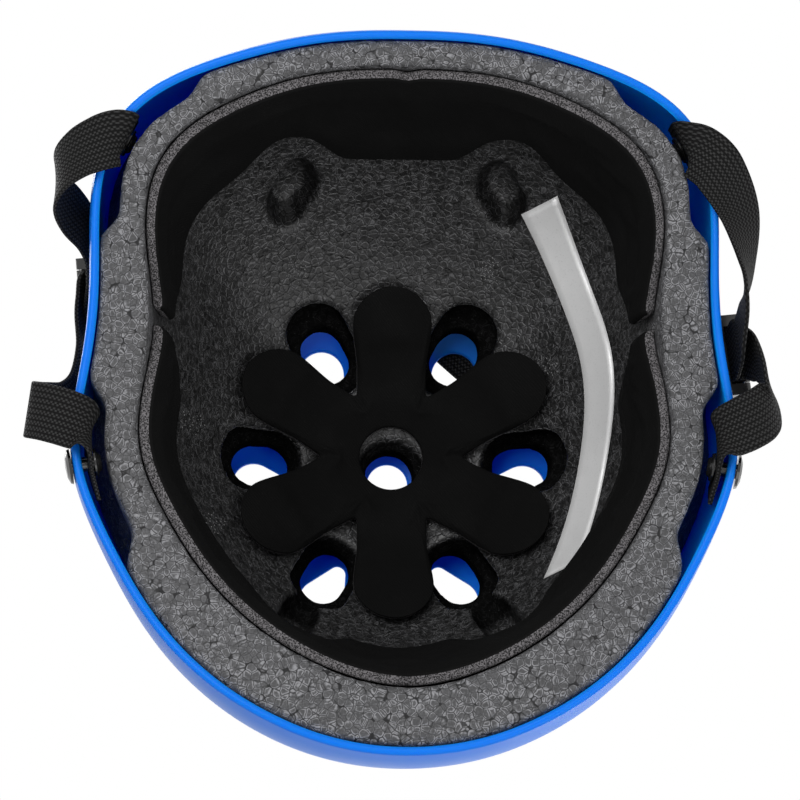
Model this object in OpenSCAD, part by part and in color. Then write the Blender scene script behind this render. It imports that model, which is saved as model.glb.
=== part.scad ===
/* [Shell] */
// Length of the shell from brow to nape
shell_len = 250; // [244:1:256]
// Half of the shell's width at mid length, before its fuller stretches
shell_half_w = 107; // [104:0.5:110]
// Height of the crown above the edge that the helmet rests on
shell_h = 142; // [138:1:148]
// Thickness of the shell's plastic
shell_t = 3; // [2.6:0.1:3.4]
// Height of the shell's widest belt
belt_z = 24; // [20:1:28]
// Share by which the wall tucks in below the belt
rim_tuck = 0.034; // [0.02:0.002:0.05]
// Squareness of the plan at the brow
brow_power = 2.6; // [2.5:0.02:2.7]
// Squareness of the plan at the nape
nape_power = 2.07; // [2.02:0.01:2.12]
// Roundness of the profile from the belt to the crown
crown_power = 2.15; // [2.1:0.01:2.2]
// Distance of the crown's top behind mid length
crown_y = 12; // [9:0.5:15]
// Extra fullness of the two front corners
corner_full = 13; // [11:0.5:15]
// Angle of the front corners ahead of the side
corner_at = 42; // [39:0.5:45]
// Spread of the front corners
corner_w = 16.5; // [14:0.5:19]
// Extra fullness behind each ear
ear_full = 5.8; // [4.5:0.1:7]
// Angle of that fullness behind the side
ear_at = 10.5; // [8:0.5:13]
// Spread of that fullness
ear_w = 15.4; // [13:0.2:18]
// Height of the arch over each ear
arch_h = 13; // [10:0.5:15]
// Share of the turn, from front to side, that stays flat on the ground
arch_start = 0.35; // [0.3:0.01:0.4]

/* [Foam liner] */
// Gap between the shell and the liner
liner_gap = 0.6; // [0.5:0.05:0.8]
// Height of the liner's lower face above the shell's edge
liner_up = 1.5; // [1:0.1:2.5]
// Half of the cavity's width at mid length
cavity_half_w = 86.7; // [84:0.1:89]
// Reach of the cavity to the brow
cavity_front = 109; // [106:0.5:111]
// Reach of the cavity to the nape
cavity_rear = 99.5; // [97:0.5:102]
// Height of the cavity
cavity_h = 117; // [114:0.5:119]
// Squareness of the cavity's plan at the brow
cavity_brow = 2.73; // [2.65:0.01:2.8]
// Squareness of the cavity's plan at the nape
cavity_nape = 1.85; // [1.8:0.01:1.92]
// Roundness of the cavity's profile
cavity_power = 2.05; // [2:0.01:2.1]
// Extra fullness of the cavity's front corners
cavity_corner = 12; // [10:0.5:13]
// Extra fullness of the cavity behind each ear
cavity_ear = 4.3; // [3.5:0.1:5]
// Depth of the pocket behind each strap anchor
pocket_d = 7.8; // [7.6:0.1:9.2]
// Share of a pocket's depth at its mouth, where only the webbing passes
pocket_mouth = 0.72; // [0.66:0.02:0.8]
// Height at which the anchor pockets start to close
pocket_top = 32; // [30:0.5:36]

/* [Vents] */
// Radius of the round crown vent in the shell
vent_r = 7.5; // [7:0.05:8]
// Distance of the shell's crown vent behind the crown's top
vent_back = 4; // [3:0.1:4.5]
// Distance of the six drop-shaped vents' centre behind the crown's top
ring_back = 6; // [5:0.1:7]
// Distance from that centre to the small end of a drop
drop_near = 37.5; // [36:0.1:39]
// Distance from that centre to the large end of a drop
drop_far = 49.5; // [48:0.1:51]
// Radius of a drop's small end
drop_small = 3; // [2.5:0.1:3.5]
// Radius of a drop's large end
drop_large = 8.25; // [7.75:0.05:8.75]
// Width of a slotted vent over the brow or the nape
vent_w = 12.5; // [11.5:0.1:13.5]
// Length of a slotted vent over the brow or the nape
vent_l = 27; // [25:0.5:29]
// Distance from the crown's top to the middle of the liner's six ring holes
vent_ring = 48; // [46:0.5:50]
// Width of the liner's ring holes
liner_vent_w = 16; // [15:0.1:17]
// Length of the liner's ring holes
liner_vent_l = 21; // [20:0.5:22]
// Extra radius of the liner's crown hole over the shell's vent
vent_open = 1.5; // [1.4:0.1:2]
// Length of the recess round a ring hole, on the inside
recess_l = 37; // [34:0.5:40]
// Extra width of that recess over its hole
recess_rim = 6.5; // [5.5:0.1:7.5]
// Depth of that recess below the cavity's wall
recess_d = 9; // [7:0.5:11]

/* [Pads] */
// Thickness of the comfort pads' foam
pad_t = 4.5; // [4:0.1:5.5]
// Extra swell in the middle of a pad
pad_swell = 0.7; // [0.3:0.1:1]
// Thickness of a hook patch under a pad
hook_t = 1.1; // [0.9:0.1:1.4]
// Gap on each side of a hook patch
hook_gap = 0.5; // [0.45:0.05:0.6]
// Height of the brow pad's middle tab
brow_tab = 57; // [55:1:62]
// Height of the nape pad's middle tab
nape_tab = 61; // [57:1:64]
// Height of the pads on the sides
side_pad_h = 51; // [48:0.5:54]
// Angle ahead of the side at which the brow pad ends
pad_gap_at = 19; // [17:0.5:21]
// Angle between the ends of the brow pad and the nape pad
pad_gap = 3; // [2:0.25:4]
// Drop of a pad's upper edge under each dimple
pad_dip = 12; // [9:0.5:14]
// Distance from the crown pad's middle to a petal's tip
petal_reach = 61; // [58:0.5:63]
// Radius of a petal's round end
petal_r = 15; // [14:0.2:15.6]
// Half width of a petal at its neck
petal_neck = 12.6; // [11.8:0.1:13.2]
// Radius of the crown pad's middle hole
pad_hole_r = 11.5; // [11:0.1:12.5]
// Distance of the crown pad's middle ahead of the crown vent
pad_shift = 2.5; // [1.5:0.1:3.5]

/* [Webbing] */
// Width of the webbing
web_w = 19; // [18:0.5:20]
// Thickness of the webbing
web_t = 1.5; // [1.3:0.1:1.7]
// Clearance of the webbing from the shell's inner wall at an anchor
web_gap = 2.1; // [2:0.05:2.3]
// Height of the strap anchors
anchor_z = 18; // [17:0.5:20]
// Angle of the front anchors ahead of the side
front_anchor = 41.3; // [40:0.1:42.5]
// Angle of the rear anchors behind the side
rear_anchor = 13; // [12:0.1:14]

/* [Rivets] */
// Radius of a rivet's shank
rivet_r = 2.5; // [2.2:0.1:2.7]
// Radial clearance of the shank in its holes
rivet_gap = 0.1; // [0.06:0.01:0.15]
// Radius of the rivet's outer cap
cap_r = 6; // [5.5:0.1:6.5]
// Height of the outer cap
cap_h = 2; // [1.6:0.1:2.4]
// Radius of the ring washer on the inside
washer_r = 5; // [4.6:0.1:5.2]
// Thickness of the ring washer
washer_t = 1.1; // [0.9:0.1:1.3]

/* [Dividers] */
// Length of a strap divider along the chin strap
div_l = 30; // [29:0.5:33]
// Width of a strap divider
div_w = 28; // [27.5:0.5:30]
// Thickness of the divider's base
div_base_t = 2; // [1.8:0.1:2.4]
// Thickness of the divider's cover
div_cover_t = 1.8; // [1.6:0.1:2.2]
// Clearance of a divider from the shell
div_gap = 0.7; // [0.5:0.1:1]
// Clearance between the webbing layers and the divider
div_play = 0.25; // [0.2:0.05:0.35]
// Radius of the cover's hinge pin
div_pin_r = 1; // [0.8:0.05:1.1]
// Running clearance round the hinge pin
pin_gap = 0.06; // [0.04:0.01:0.1]

/* [Buckle] */
// Width of the buckle
buckle_w = 30; // [29:0.5:32]
// Thickness of the buckle
buckle_t = 9; // [8.6:0.1:9.6]
// Length of the socket half without its webbing bar
socket_l = 28; // [27.5:0.5:30]
// Wall of the socket
socket_wall = 1.7; // [1.5:0.1:2]
// Clearance between the plug and the socket
buckle_gap = 0.35; // [0.25:0.05:0.45]
// Length of the plug's webbing frame
frame_l = 18.5; // [18:0.5:20]
// Diameter of the webbing bars
bar_d = 3.2; // [2.8:0.1:3.4]
// Length of a webbing slot in the buckle
slot_l = 3.6; // [3.4:0.1:4]
// Thickness of a release arm
arm_t = 2.6; // [2.2:0.1:2.8]

/* [Hidden] */
$fn = 48;

COLUMNS = 72;
ROWS = 12;

// A surface is [half width, reach to brow, reach to nape, corner, ear, height, belt, roundness,
// squareness at the brow, squareness at the nape]
OUTER = [shell_half_w, shell_len / 2, shell_len / 2, corner_full, ear_full, shell_h, belt_z, crown_power,
         brow_power, nape_power];
CAVITY = [cavity_half_w, cavity_front, cavity_rear, cavity_corner, cavity_ear, cavity_h, 0, cavity_power,
          cavity_brow, cavity_nape];

function inset(s, d) = [s[0] - d, s[1] - d, s[2] - d, s[3], s[4], s[5] - d, s[6], s[7], s[8], s[9]];
function bell(g, at, w) = exp(-pow((g - at) / w, 2));
function smooth(x) = let (c = min(1, max(0, x))) c * c * (3 - 2 * c);
function lerp(a, b, f) = a + (b - a) * f;
function unit(v) = v / norm(v);

// Angle from the side, negative towards the brow
function lean(t) = atan2(sin(t), abs(cos(t)));
// Turn angle of a place on the right (side 1) or left (side -1) at an angle from the side
function turn(side, g) = side > 0 ? g : 180 - g;

function plan_r(s, t) =
    let (c = abs(cos(t)), q = abs(sin(t)), g = lean(t),
         reach = sin(t) < 0 ? s[1] : s[2],
         n = lerp(s[8], s[9], 0.5 + 0.5 * sin(t)),
         r = pow(pow(c / s[0], n) + pow(q / reach, n), -1 / n))
    r + s[3] * bell(g, -corner_at, corner_w) + s[4] * bell(g, ear_at, ear_w);

// Share of the plan that is left at a height
function profile(s, z) =
    z < s[6] ? 1 - rim_tuck * pow((s[6] - z) / s[6], 2)
             : pow(max(0, 1 - pow((z - s[6]) / (s[5] - s[6]), s[7])), 1 / s[7]);

function place(s, t, z, out = 0) =
    let (p = profile(s, z), r = plan_r(s, t) * p + out)
    [r * cos(t), crown_y * (1 - p) + r * sin(t), z];

function rim_z(t) =
    arch_h * pow(max(0, (abs(cos(t)) - arch_start) / (1 - arch_start)), 1.5);

// Axes of the outer surface at a place: along the turn, up the wall and outwards
function wall_axes(t, z) =
    let (along = unit(place(OUTER, t + 0.5, z) - place(OUTER, t - 0.5, z)),
         up = unit(place(OUTER, t, z + 0.5) - place(OUTER, t, z - 0.5)),
         out = unit(cross(along, up)))
    [along, cross(out, along), out];

// Axes turned about the outward one, so that the first points along the given slope
function turned(a, angle) =
    [cos(angle) * a[0] + sin(angle) * a[1], cos(angle) * a[1] - sin(angle) * a[0], a[2]];

function at_frame(f, u, v, w) = f[0] + u * f[1] + v * f[2] + w * f[3];

module in_frame(f) {
    multmatrix([[f[1][0], f[2][0], f[3][0], f[0][0]],
                [f[1][1], f[2][1], f[3][1], f[0][1]],
                [f[1][2], f[2][2], f[3][2], f[0][2]],
                [0, 0, 0, 1]])
        children();
}

// Skin over a stack of closed rings, with a point at each end of the stack
module ring_skin(first, rings, last) {
    n = len(rings[0]);
    m = len(rings);
    points = concat([first], [for (r = rings) for (p = r) p], [last]);
    end = n * m + 1;
    faces = concat(
        [for (j = [0:n - 1]) [0, 1 + (j + 1) % n, 1 + j]],
        [for (i = [0:m - 2]) for (j = [0:n - 1])
            let (a = 1 + i * n + j, b = 1 + i * n + (j + 1) % n) each [[a, b, b + n], [a, b + n, a + n]]],
        [for (j = [0:n - 1]) [1 + (m - 1) * n + j, 1 + (m - 1) * n + (j + 1) % n, end]]);
    polyhedron(points, faces, convexity = 8);
}

// Slab between two grids of points, rows from the lower edge up and columns along the turn
module slab_skin(front, back, closed = false) {
    m = len(front);
    n = len(front[0]);
    span = closed ? n : n - 1;
    half = m * n;
    function a(i, j) = i * n + j % n;
    function b(i, j) = half + i * n + j % n;
    function quad(p, q, r, s) = [[p, q, r], [p, r, s]];
    points = concat([for (r = front) for (p = r) p], [for (r = back) for (p = r) p]);
    faces = concat(
        [for (i = [0:m - 2]) for (j = [0:span - 1]) each quad(a(i, j + 1), a(i + 1, j + 1), a(i + 1, j), a(i, j))],
        [for (i = [0:m - 2]) for (j = [0:span - 1]) each quad(b(i, j), b(i + 1, j), b(i + 1, j + 1), b(i, j + 1))],
        [for (j = [0:span - 1]) each quad(a(0, j + 1), a(0, j), b(0, j), b(0, j + 1))],
        [for (j = [0:span - 1]) each quad(a(m - 1, j), a(m - 1, j + 1), b(m - 1, j + 1), b(m - 1, j))],
        closed ? [] : [for (i = [0:m - 2]) each quad(a(i, 0), a(i + 1, 0), b(i + 1, 0), b(i, 0))],
        closed ? [] : [for (i = [0:m - 2])
            each quad(a(i + 1, n - 1), a(i, n - 1), b(i, n - 1), b(i + 1, n - 1))]);
    polyhedron(points, faces, convexity = 8);
}

// Smooth curve through stations, each a list of values
function curve_at(p, i, f) =
    let (n = len(p), a = p[max(0, i - 1)], b = p[i], c = p[min(n - 1, i + 1)], d = p[min(n - 1, i + 2)])
    0.5 * (2 * b + (c - a) * f + (2 * a - 5 * b + 4 * c - d) * f * f + (3 * b - a - 3 * c + d) * f * f * f);
function curve(p, steps) =
    concat([for (i = [0:len(p) - 2]) for (k = [0:steps - 1]) curve_at(p, i, k / steps)], [p[len(p) - 1]]);

// Flat band along stations of [place, normal of its face]
module ribbon(stations, w, t, steps = 2) {
    c = curve([for (s = stations) s[0]], steps);
    d = curve([for (s = stations) s[1]], steps);
    n = len(c);
    corners = [for (i = [0:n - 1])
        let (along = unit(c[min(n - 1, i + 1)] - c[max(0, i - 1)]),
             side = unit(cross(d[i], along)),
             face = cross(along, side))
        each [c[i] - side * w / 2 - face * t / 2, c[i] + side * w / 2 - face * t / 2,
              c[i] + side * w / 2 + face * t / 2, c[i] - side * w / 2 + face * t / 2]];
    faces = concat(
        [[0, 1, 2], [0, 2, 3]],
        [for (i = [0:n - 2]) for (k = [0:3])
            let (a = 4 * i + k, b = 4 * i + (k + 1) % 4) each [[a, a + 4, b + 4], [a, b + 4, b]]],
        [[4 * n - 4, 4 * n - 2, 4 * n - 3], [4 * n - 4, 4 * n - 1, 4 * n - 2]]);
    polyhedron(corners, faces, convexity = 8);
}

// Slot with round ends along X, as a prism
module slot_prism(l, w, h) {
    linear_extrude(h) {
        square([l - w, w], center = true);
        for (s = [-1, 1]) translate([s * (l - w) / 2, 0]) circle(w / 2);
    }
}

// Drop with a round small end at one distance along X and a round large end at another, as a prism
module drop_prism(near, far, small, large, h) {
    b = asin((large - small) / (far - near));
    linear_extrude(h) {
        translate([near, 0]) circle(small);
        translate([far, 0]) circle(large);
        polygon([[near - small * sin(b), -small * cos(b)], [far - large * sin(b), -large * cos(b)],
            [far - large * sin(b), large * cos(b)], [near - small * sin(b), small * cos(b)]]);
    }
}

// Plate with rounded corners, in the XY plane
module round_plate(l, w, r, h) {
    linear_extrude(h) {
        square([l - 2 * r, w], center = true);
        square([l, w - 2 * r], center = true);
        for (x = [-1, 1], y = [-1, 1]) translate([x * (l / 2 - r), y * (w / 2 - r)]) circle(r);
    }
}

// Heights of the rows between a lower edge and the top of a surface
function row_z(s, low, k) = low + (s[5] - low) * sin(90 * k / ROWS);
function ring_at(s, k, lift = 0) =
    [for (j = [0:COLUMNS - 1]) let (t = 360 * j / COLUMNS) place(s, t, row_z(s, rim_z(t) + lift, k))];

// Angles of the vents in the ring round the crown vent
VENT_ANGLES = [for (k = [0:5]) 60 * k];
// Vents over the brow and the nape: angle from the side and height of each
BROW_VENT = [-65, 92];
NAPE_VENT = [63, 92];

// Share of the plan at a plan position under a domed surface
function roof_share(s, x, y, p = 0.5, i = 7) =
    let (q = y - crown_y * (1 - p), f = norm([x, q]) / plan_r(s, atan2(q, x)))
    i == 0 ? f : roof_share(s, x, y, f, i - 1);
function roof(s, x, y) =
    let (p = min(1, roof_share(s, x, y)))
    [x, y, s[6] + (s[5] - s[6]) * pow(1 - pow(p, s[7]), 1 / s[7])];
// Frame on a domed surface: [origin, nearest tangent to the plan angle, across, outwards]
function roof_frame(s, x, y, angle) =
    let (a = roof(s, x + 0.5, y) - roof(s, x - 0.5, y), b = roof(s, x, y + 0.5) - roof(s, x, y - 0.5),
         out = unit(cross(a, b)), u = unit(a * cos(angle) + b * sin(angle)), v = cross(out, u))
    [roof(s, x, y), cross(v, out), v, out];

// Frame on the outer wall at an angle from the side: [origin, along the turn, up, outwards]
function wall_frame(t, z, inward = 0) =
    let (a = wall_axes(t, z)) [place(OUTER, t, z) - inward * a[2], a[0], a[1], a[2]];

// Anchors of the straps: [side, angle from the side]
ANCHORS = [for (side = [-1, 1]) for (g = [-front_anchor, rear_anchor]) [side, g]];
function anchor_frame(a) = wall_frame(turn(a[0], a[1]), anchor_z, shell_t);
web_in = web_gap + web_t / 2;
washer_w = web_gap + web_t + 0.7;
clinch_w = washer_w + washer_t + 0.1;

// Frames of the dividers: [origin, along the chin strap, across, outwards], right then left
DIV_LEAN = [-8.5, -24];
DIV_Z = [46, 74];
DIV_SLOPE = [90, 78];
function divider_frame(side) =
    let (i = side > 0 ? 0 : 1, a = wall_axes(turn(side, DIV_LEAN[i]), DIV_Z[i]),
         b = turned(a, side > 0 ? 180 - DIV_SLOPE[i] : DIV_SLOPE[i]))
    [place(OUTER, turn(side, DIV_LEAN[i]), DIV_Z[i]) + div_gap * b[2], b[0], b[1], b[2]];
div_inner = web_w / 2 + 0.6;
div_rail = div_base_t + 3 * div_play + 2 * web_t;
knuckle_r = div_pin_r + 0.7;
div_hinge = [-div_l / 2 + 2.5, 0, div_rail + div_play + knuckle_r];
div_low_web = div_base_t + div_play + web_t / 2;
div_high_web = div_low_web + web_t + div_play;

// Frame of the buckle, with its origin in the mouth of the socket
BUCKLE_AT = [-38, -71];
BUCKLE_TURN = 5;
buckle_touch = 9;
buckle_seat = 0.8;
CONTACT = roof_frame(OUTER, BUCKLE_AT[0], BUCKLE_AT[1], BUCKLE_TURN);
BUCKLE = [at_frame(CONTACT, buckle_touch, 0, 0), CONTACT[1], CONTACT[2], CONTACT[3]];
wall_low = buckle_seat + socket_wall;
wall_high = buckle_seat + buckle_t - socket_wall;
arm_low = wall_low + buckle_gap;
arm_high = wall_high - buckle_gap;
cavity_half = buckle_w / 2 - 2 * socket_wall;
buckle_mid = (wall_low + wall_high) / 2;
web_half = web_w / 2 + 0.4;
back_slot = -socket_l - 2 - slot_l;
back_bar = back_slot - bar_d / 2;
plug_start = 1.2;
plug_block = 4;
slot_a = plug_start + plug_block;
mid_bar = slot_a + slot_l;
slot_b = mid_bar + bar_d;
end_bar = slot_b + slot_l;
plug_end = plug_start + frame_l + 1;
ladder_high = arm_low + 3.6;
ladder_mid = arm_low + 1.8;
pivot_u = plug_start + arm_t / 2;
pivot_v = cavity_half - arm_t / 2 - 2.5;
latch_u = -12;

// Stations of a strap are [place, normal of its face]. Near the shell they come from
// [angle from the side, height, distance outside the shell, tilt of the face from outwards]
function station(side, p) =
    let (t = turn(side, p[0]), out = wall_axes(t, max(p[1], anchor_z))[2])
    [place(OUTER, t, p[1]) + p[2] * out, out * cos(p[3]) + [0, 0, 1] * sin(p[3])];
function stations(side, list) = [for (p = list) station(side, p)];
// On the dome, with the face towards it: [angle from the side, height, lift]
function dome_station(side, p) =
    let (t = turn(side, p[0]), a = wall_axes(t, p[1])) [place(OUTER, t, p[1]) + p[2] * a[2], -a[2]];
// In a frame: [u, w, angle of the face from straight down]
function frame_station(f, u, w, turn_over = 0) =
    [at_frame(f, u, 0, w), -f[3] * cos(turn_over) + f[1] * sin(turn_over)];

anchor_out = -shell_t - web_in;
function front_rise(side) = stations(side, [
    [-front_anchor, anchor_z + 7.5, anchor_out, 0], [-front_anchor, anchor_z, anchor_out, 0],
    [0.4 - front_anchor, 9, anchor_out - 0.2, 5]]);
function rear_rise(side) = stations(side, [
    [rear_anchor + 5, anchor_z + 5, anchor_out, 0], [rear_anchor, anchor_z, anchor_out, 0],
    [rear_anchor - 4.5, anchor_z - 6, anchor_out - 0.2, 5]]);

FRONT_LEFT_LOOP = [[-40.6, 6, -4.9, 30], [-39.6, 4.6, -2.4, 65], [-37.5, 4.6, 1.6, 92], [-34.6, 8, 7.5, 125],
                   [-32, 15, 11, 165], [-29.6, 25, 8, 205], [-27.4, 34, 4.2, 200], [-25.2, 42, 4, 180],
                   [-22.6, 50, 5.4, 180]];
REAR_LEFT_LOOP = [[6.6, 10, -4, 45], [5.6, 9, 2, 90], [4.8, 11.5, 9, 125], [4.2, 18, 14, 170],
                  [3.4, 28, 10, 215], [1.6, 36, 5.4, 205], [-3, 43, 5, 185], [-10, 48.5, 7, 180],
                  [-16.6, 52.5, 8.2, 180]];
FRONT_RIGHT_LOOP = [[-40.4, 5.6, -4.9, 30], [-39, 4.9, -2.2, 65], [-36, 5.8, 2, 92], [-30.5, 11.5, 7, 125],
                    [-23, 14.5, 9.5, 160], [-16.5, 15, 8.5, 180], [-11, 19.5, 6.2, 180], [-9, 26, 5, 180]];
REAR_RIGHT_LOOP = [[7, 10, -4, 45], [5.5, 9, 3, 90], [4, 11.5, 9, 130], [2, 16, 12.8, 160],
                   [-2, 18, 12.4, 175], [-6, 21.5, 10.8, 180], [-8, 27, 8.8, 180]];
CHIN_LEFT = [[-30.5, 95, 2.2], [-36, 99.5, 2.6]];
CHIN_RIGHT = [[-11.5, 71, 2.6], [-17, 79, 2.2], [-24, 87, 2.2], [-32, 96, 2.2], [-41, 105.5, 2.2], [-50, 112.5, 2.2],
              [-60, 118, 2.2], [-70, 122, 2.4], [-79, 123.5, 3.2]];
// The tail over the dome: [x, y, lift]
TAIL = [[-2, -61, 7.4], [9, -51, 5.8], [24, -37.6, 2], [43, -21.3, 1.7], [58, -8.4, 1.7]];

// Stations through a divider, and round a bar of the buckle
run_near = div_l / 2 - 1.5;
run_far = div_l / 2 + 2;
run_last = div_l / 2 - 0.5;
function divider_run(f, w, ends = [run_near, run_far]) =
    [for (u = concat([-run_far, -run_near, 0], ends)) frame_station(f, u, w)];
wrap_r = bar_d / 2 + 0.35 + web_t / 2;
function bar_turn(u, w, angles) =
    [for (a = angles) frame_station(BUCKLE, u + wrap_r * cos(a), w + wrap_r * sin(a), a + 90)];

module dome_vents() {
    height = shell_h + 5 - cut_z;
    translate([0, crown_y + vent_back, cut_z]) cylinder(r = vent_r, h = height);
    for (angle = VENT_ANGLES)
        translate([0, crown_y + ring_back, cut_z]) rotate([0, 0, angle])
            drop_prism(drop_near, drop_far, drop_small, drop_large, height);
}

module rivet_holes() {
    for (a = ANCHORS)
        in_frame(anchor_frame(a)) translate([0, 0, -12]) cylinder(r = rivet_r + rivet_gap, h = 24);
}

module end_vents(depth) {
    for (side = [-1, 1], vent = [BROW_VENT, NAPE_VENT])
        in_frame(wall_frame(turn(side, vent[0]), vent[1]))
            translate([0, 0, -depth]) rotate([0, 0, 90]) slot_prism(vent_l, vent_w, 2 * depth);
}

module outer_shell() {
    inner = inset(OUTER, shell_t);
    color("dodgerblue") difference() {
        ring_skin([0, crown_y, shell_h],
            concat([for (k = [ROWS - 1:-1:0]) ring_at(OUTER, k)], [for (k = [0:ROWS - 1]) ring_at(inner, k)]),
            [0, crown_y, shell_h - shell_t]);
        dome_vents();
        end_vents(8);
        rivet_holes();
    }
}

// Set-back of the liner's outer face that leaves room for a strap's anchor
function pocket(t, z) =
    let (g = lean(t),
         front = smooth((g + 58) / 6) * smooth((-26 - g) / 6),
         rear = smooth((g + 3) / 7) * smooth((34 - g) / 7),
         mouth = lerp(pocket_mouth, 1, smooth((z - anchor_z + 10) / 4.5)))
    pocket_d * max(front, rear) * mouth * smooth((pocket_top + 14 - z) / 14);
function liner_ring(s, k, low) =
    [for (j = [0:COLUMNS - 1])
        let (t = 360 * j / COLUMNS, z = row_z(s, rim_z(t) + low, k)) place(s, t, z, -pocket(t, z))];

// Dimples inside the brow and the nape: [distance from the mid plane, Y, plan angle of the right one]
DIMPLES = [[37, -79.5, 52], [35, 72, 64]];
dimple_l = 22;
dimple_w = 14;
dimple_z = [50, 88];
chamfer = 1;
// Height from which the vents are cut, and how far the liner's crown hole lies ahead of the shell's vent
cut_z = 60;
hole_ahead = vent_open - 0.1;
crown_recess = 3.5;
crown_recess_d = 2.5;

module foam_liner() {
    back = inset(OUTER, shell_t + liner_gap);
    color([0.23, 0.23, 0.24]) difference() {
        ring_skin([0, crown_y, back[5]],
            concat([for (k = [ROWS - 1:-1:0]) liner_ring(back, k, liner_up + chamfer)],
                [liner_ring(inset(back, chamfer), 0, liner_up)],
                [ring_at(inset(CAVITY, -chamfer), 0, liner_up)],
                [for (k = [0:ROWS - 1]) ring_at(CAVITY, k, liner_up + chamfer)]),
            [0, crown_y, cavity_h]);
        for (angle = VENT_ANGLES) {
            x = vent_ring * cos(angle);
            y = crown_y + vent_ring * sin(angle);
            translate([x, y, cut_z]) rotate([0, 0, angle])
                slot_prism(liner_vent_l, liner_vent_w, shell_h + 5 - cut_z);
            in_frame(roof_frame(CAVITY, x, y, angle)) translate([0, 0, -12])
                slot_prism(recess_l, liner_vent_w + recess_rim, 12 + recess_d);
        }
        translate([0, crown_y + vent_back - hole_ahead, cut_z]) {
            cylinder(r = vent_r + vent_open, h = shell_h + 5 - cut_z);
            cylinder(r = vent_r + vent_open + crown_recess, h = cavity_h + crown_recess_d - cut_z);
        }
        for (side = [-1, 1], d = DIMPLES)
            translate([side * d[0], d[1], dimple_z[0]]) rotate([0, 0, side > 0 ? d[2] : 180 - d[2]])
                slot_prism(dimple_l, dimple_w, dimple_z[1] - dimple_z[0]);
    }
}

// Rows of a pad's face from edge to edge, and the share of its thickness at each
FACE_ROWS = [0, 0.1, 0.5, 0.9, 1];
FACE_SHARE = [0.45, 0.95, 1, 0.95, 0.45];
// Pad against the cavity's wall: turn from first to last, heights by lists along the turn
module wall_pad(first, last, columns, low, high) {
    back = inset(CAVITY, 2 * hook_gap + hook_t);
    grid = [for (r = FACE_ROWS) [for (j = [0:columns])
        let (t = lerp(first, last, j / columns)) [t, lerp(low[j], high[j], r)]]];
    front = [for (i = [0:4]) [for (j = [0:columns])
        let (end = j == 0 || j == columns ? FACE_SHARE[0] : 1,
             middle = min(1, min(j, columns - j) / 3) * (i == 2 ? 1 : 0),
             d = pad_t * FACE_SHARE[i] * end + pad_swell * middle)
        place(inset(back, d), grid[i][j][0], grid[i][j][1])]];
    rear = [for (row = grid) [for (c = row) place(back, c[0], c[1])]];
    slab_skin(front, rear);
}

// Height of a pad's upper edge at an angle away from the mid plane
function pad_top(away, tab, dip_at) =
    side_pad_h + (tab - side_pad_h) * (1 - smooth((away - 12) / 7)) - pad_dip * bell(away, dip_at, 8);
function pad_low(t, notch_away) = rim_z(t) + liner_up + 2.5 + 3 * bell(notch_away, 0, 1.5);
// Round ends: 0 at the very end of the pad and 1 well inside it
function inner_share(j, n) = smooth(min(j, n - j) / 3);

module front_pad() {
    n = 30;
    turns = [for (j = [0:n]) lerp(pad_gap_at - 180, -pad_gap_at, j / n)];
    color([0.1, 0.1, 0.11]) wall_pad(turns[0], turns[n], n,
        [for (j = [0:n]) pad_low(turns[j], turns[j] + 90) + 7 * (1 - inner_share(j, n))],
        [for (j = [0:n]) pad_top(abs(turns[j] + 90), brow_tab, 24) - 14 * (1 - inner_share(j, n))]);
}

module rear_pad() {
    n = 42;
    turns = [for (j = [0:n]) lerp(pad_gap - pad_gap_at, 180 + pad_gap_at - pad_gap, j / n)];
    color([0.1, 0.1, 0.11]) wall_pad(turns[0], turns[n], n,
        [for (j = [0:n]) pad_low(turns[j], turns[j] - 90) + 7 * (1 - inner_share(j, n))],
        [for (j = [0:n]) pad_top(abs(turns[j] - 90), nape_tab, 29) - 16 * (1 - inner_share(j, n))]);
}

// Reach of the crown pad's outline: a petal's round end, its straight neck, then the valley
function petal_edge(a) =
    let (c = abs(a), e = petal_reach - petal_r,
         round_end = petal_r > e * sin(c) ? e * cos(c) + sqrt(pow(petal_r, 2) - pow(e * sin(c), 2)) : 0,
         neck = c < 1 ? 0 : min(petal_neck / sin(c), e))
    max(round_end, neck, 26);

module crown_pad() {
    back = inset(CAVITY, 2 * hook_gap + hook_t);
    n = 84;
    centre_y = crown_y - pad_shift;
    plan = [for (r = FACE_ROWS) [for (j = [0:n - 1])
        let (a = 360 * j / n, reach = petal_edge((a % 60) - 30), d = lerp(reach, pad_hole_r, r))
        [d * cos(a), centre_y + d * sin(a)]]];
    front = [for (i = [0:4]) [for (c = plan[i])
        roof(inset(back, pad_t * FACE_SHARE[i] + (i == 2 ? pad_swell : 0)), c[0], c[1])]];
    rear = [for (row = plan) [for (c = row) roof(back, c[0], c[1])]];
    color([0.09, 0.09, 0.1]) slab_skin(front, rear, closed = true);
}

// Hook patch against the cavity, between two turns and two heights
module wall_patch(t0, t1, z0, z1) {
    function grid(s) = [for (i = [0:2]) [for (j = [0:2]) place(s, lerp(t0, t1, j / 2), lerp(z0, z1, i / 2))]];
    slab_skin(grid(inset(CAVITY, hook_gap + hook_t)), grid(inset(CAVITY, hook_gap)));
}

module roof_patch(x, y, size) {
    function grid(s) = [for (i = [-1:1]) [for (j = [-1:1]) roof(s, x + j * size / 2, y + i * size / 2)]];
    slab_skin(grid(inset(CAVITY, hook_gap + hook_t)), grid(inset(CAVITY, hook_gap)));
}

// Hook patches: half turn and heights of the tab patches and of the side patches, angles of the side patches
tab_patch = [7, 26, 46];
side_patch = [4, 24, 37];
SIDE_PATCHES = [-52, -28, 8, 44];
petal_patch = 13;
petal_patch_at = petal_reach - petal_r;

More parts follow.
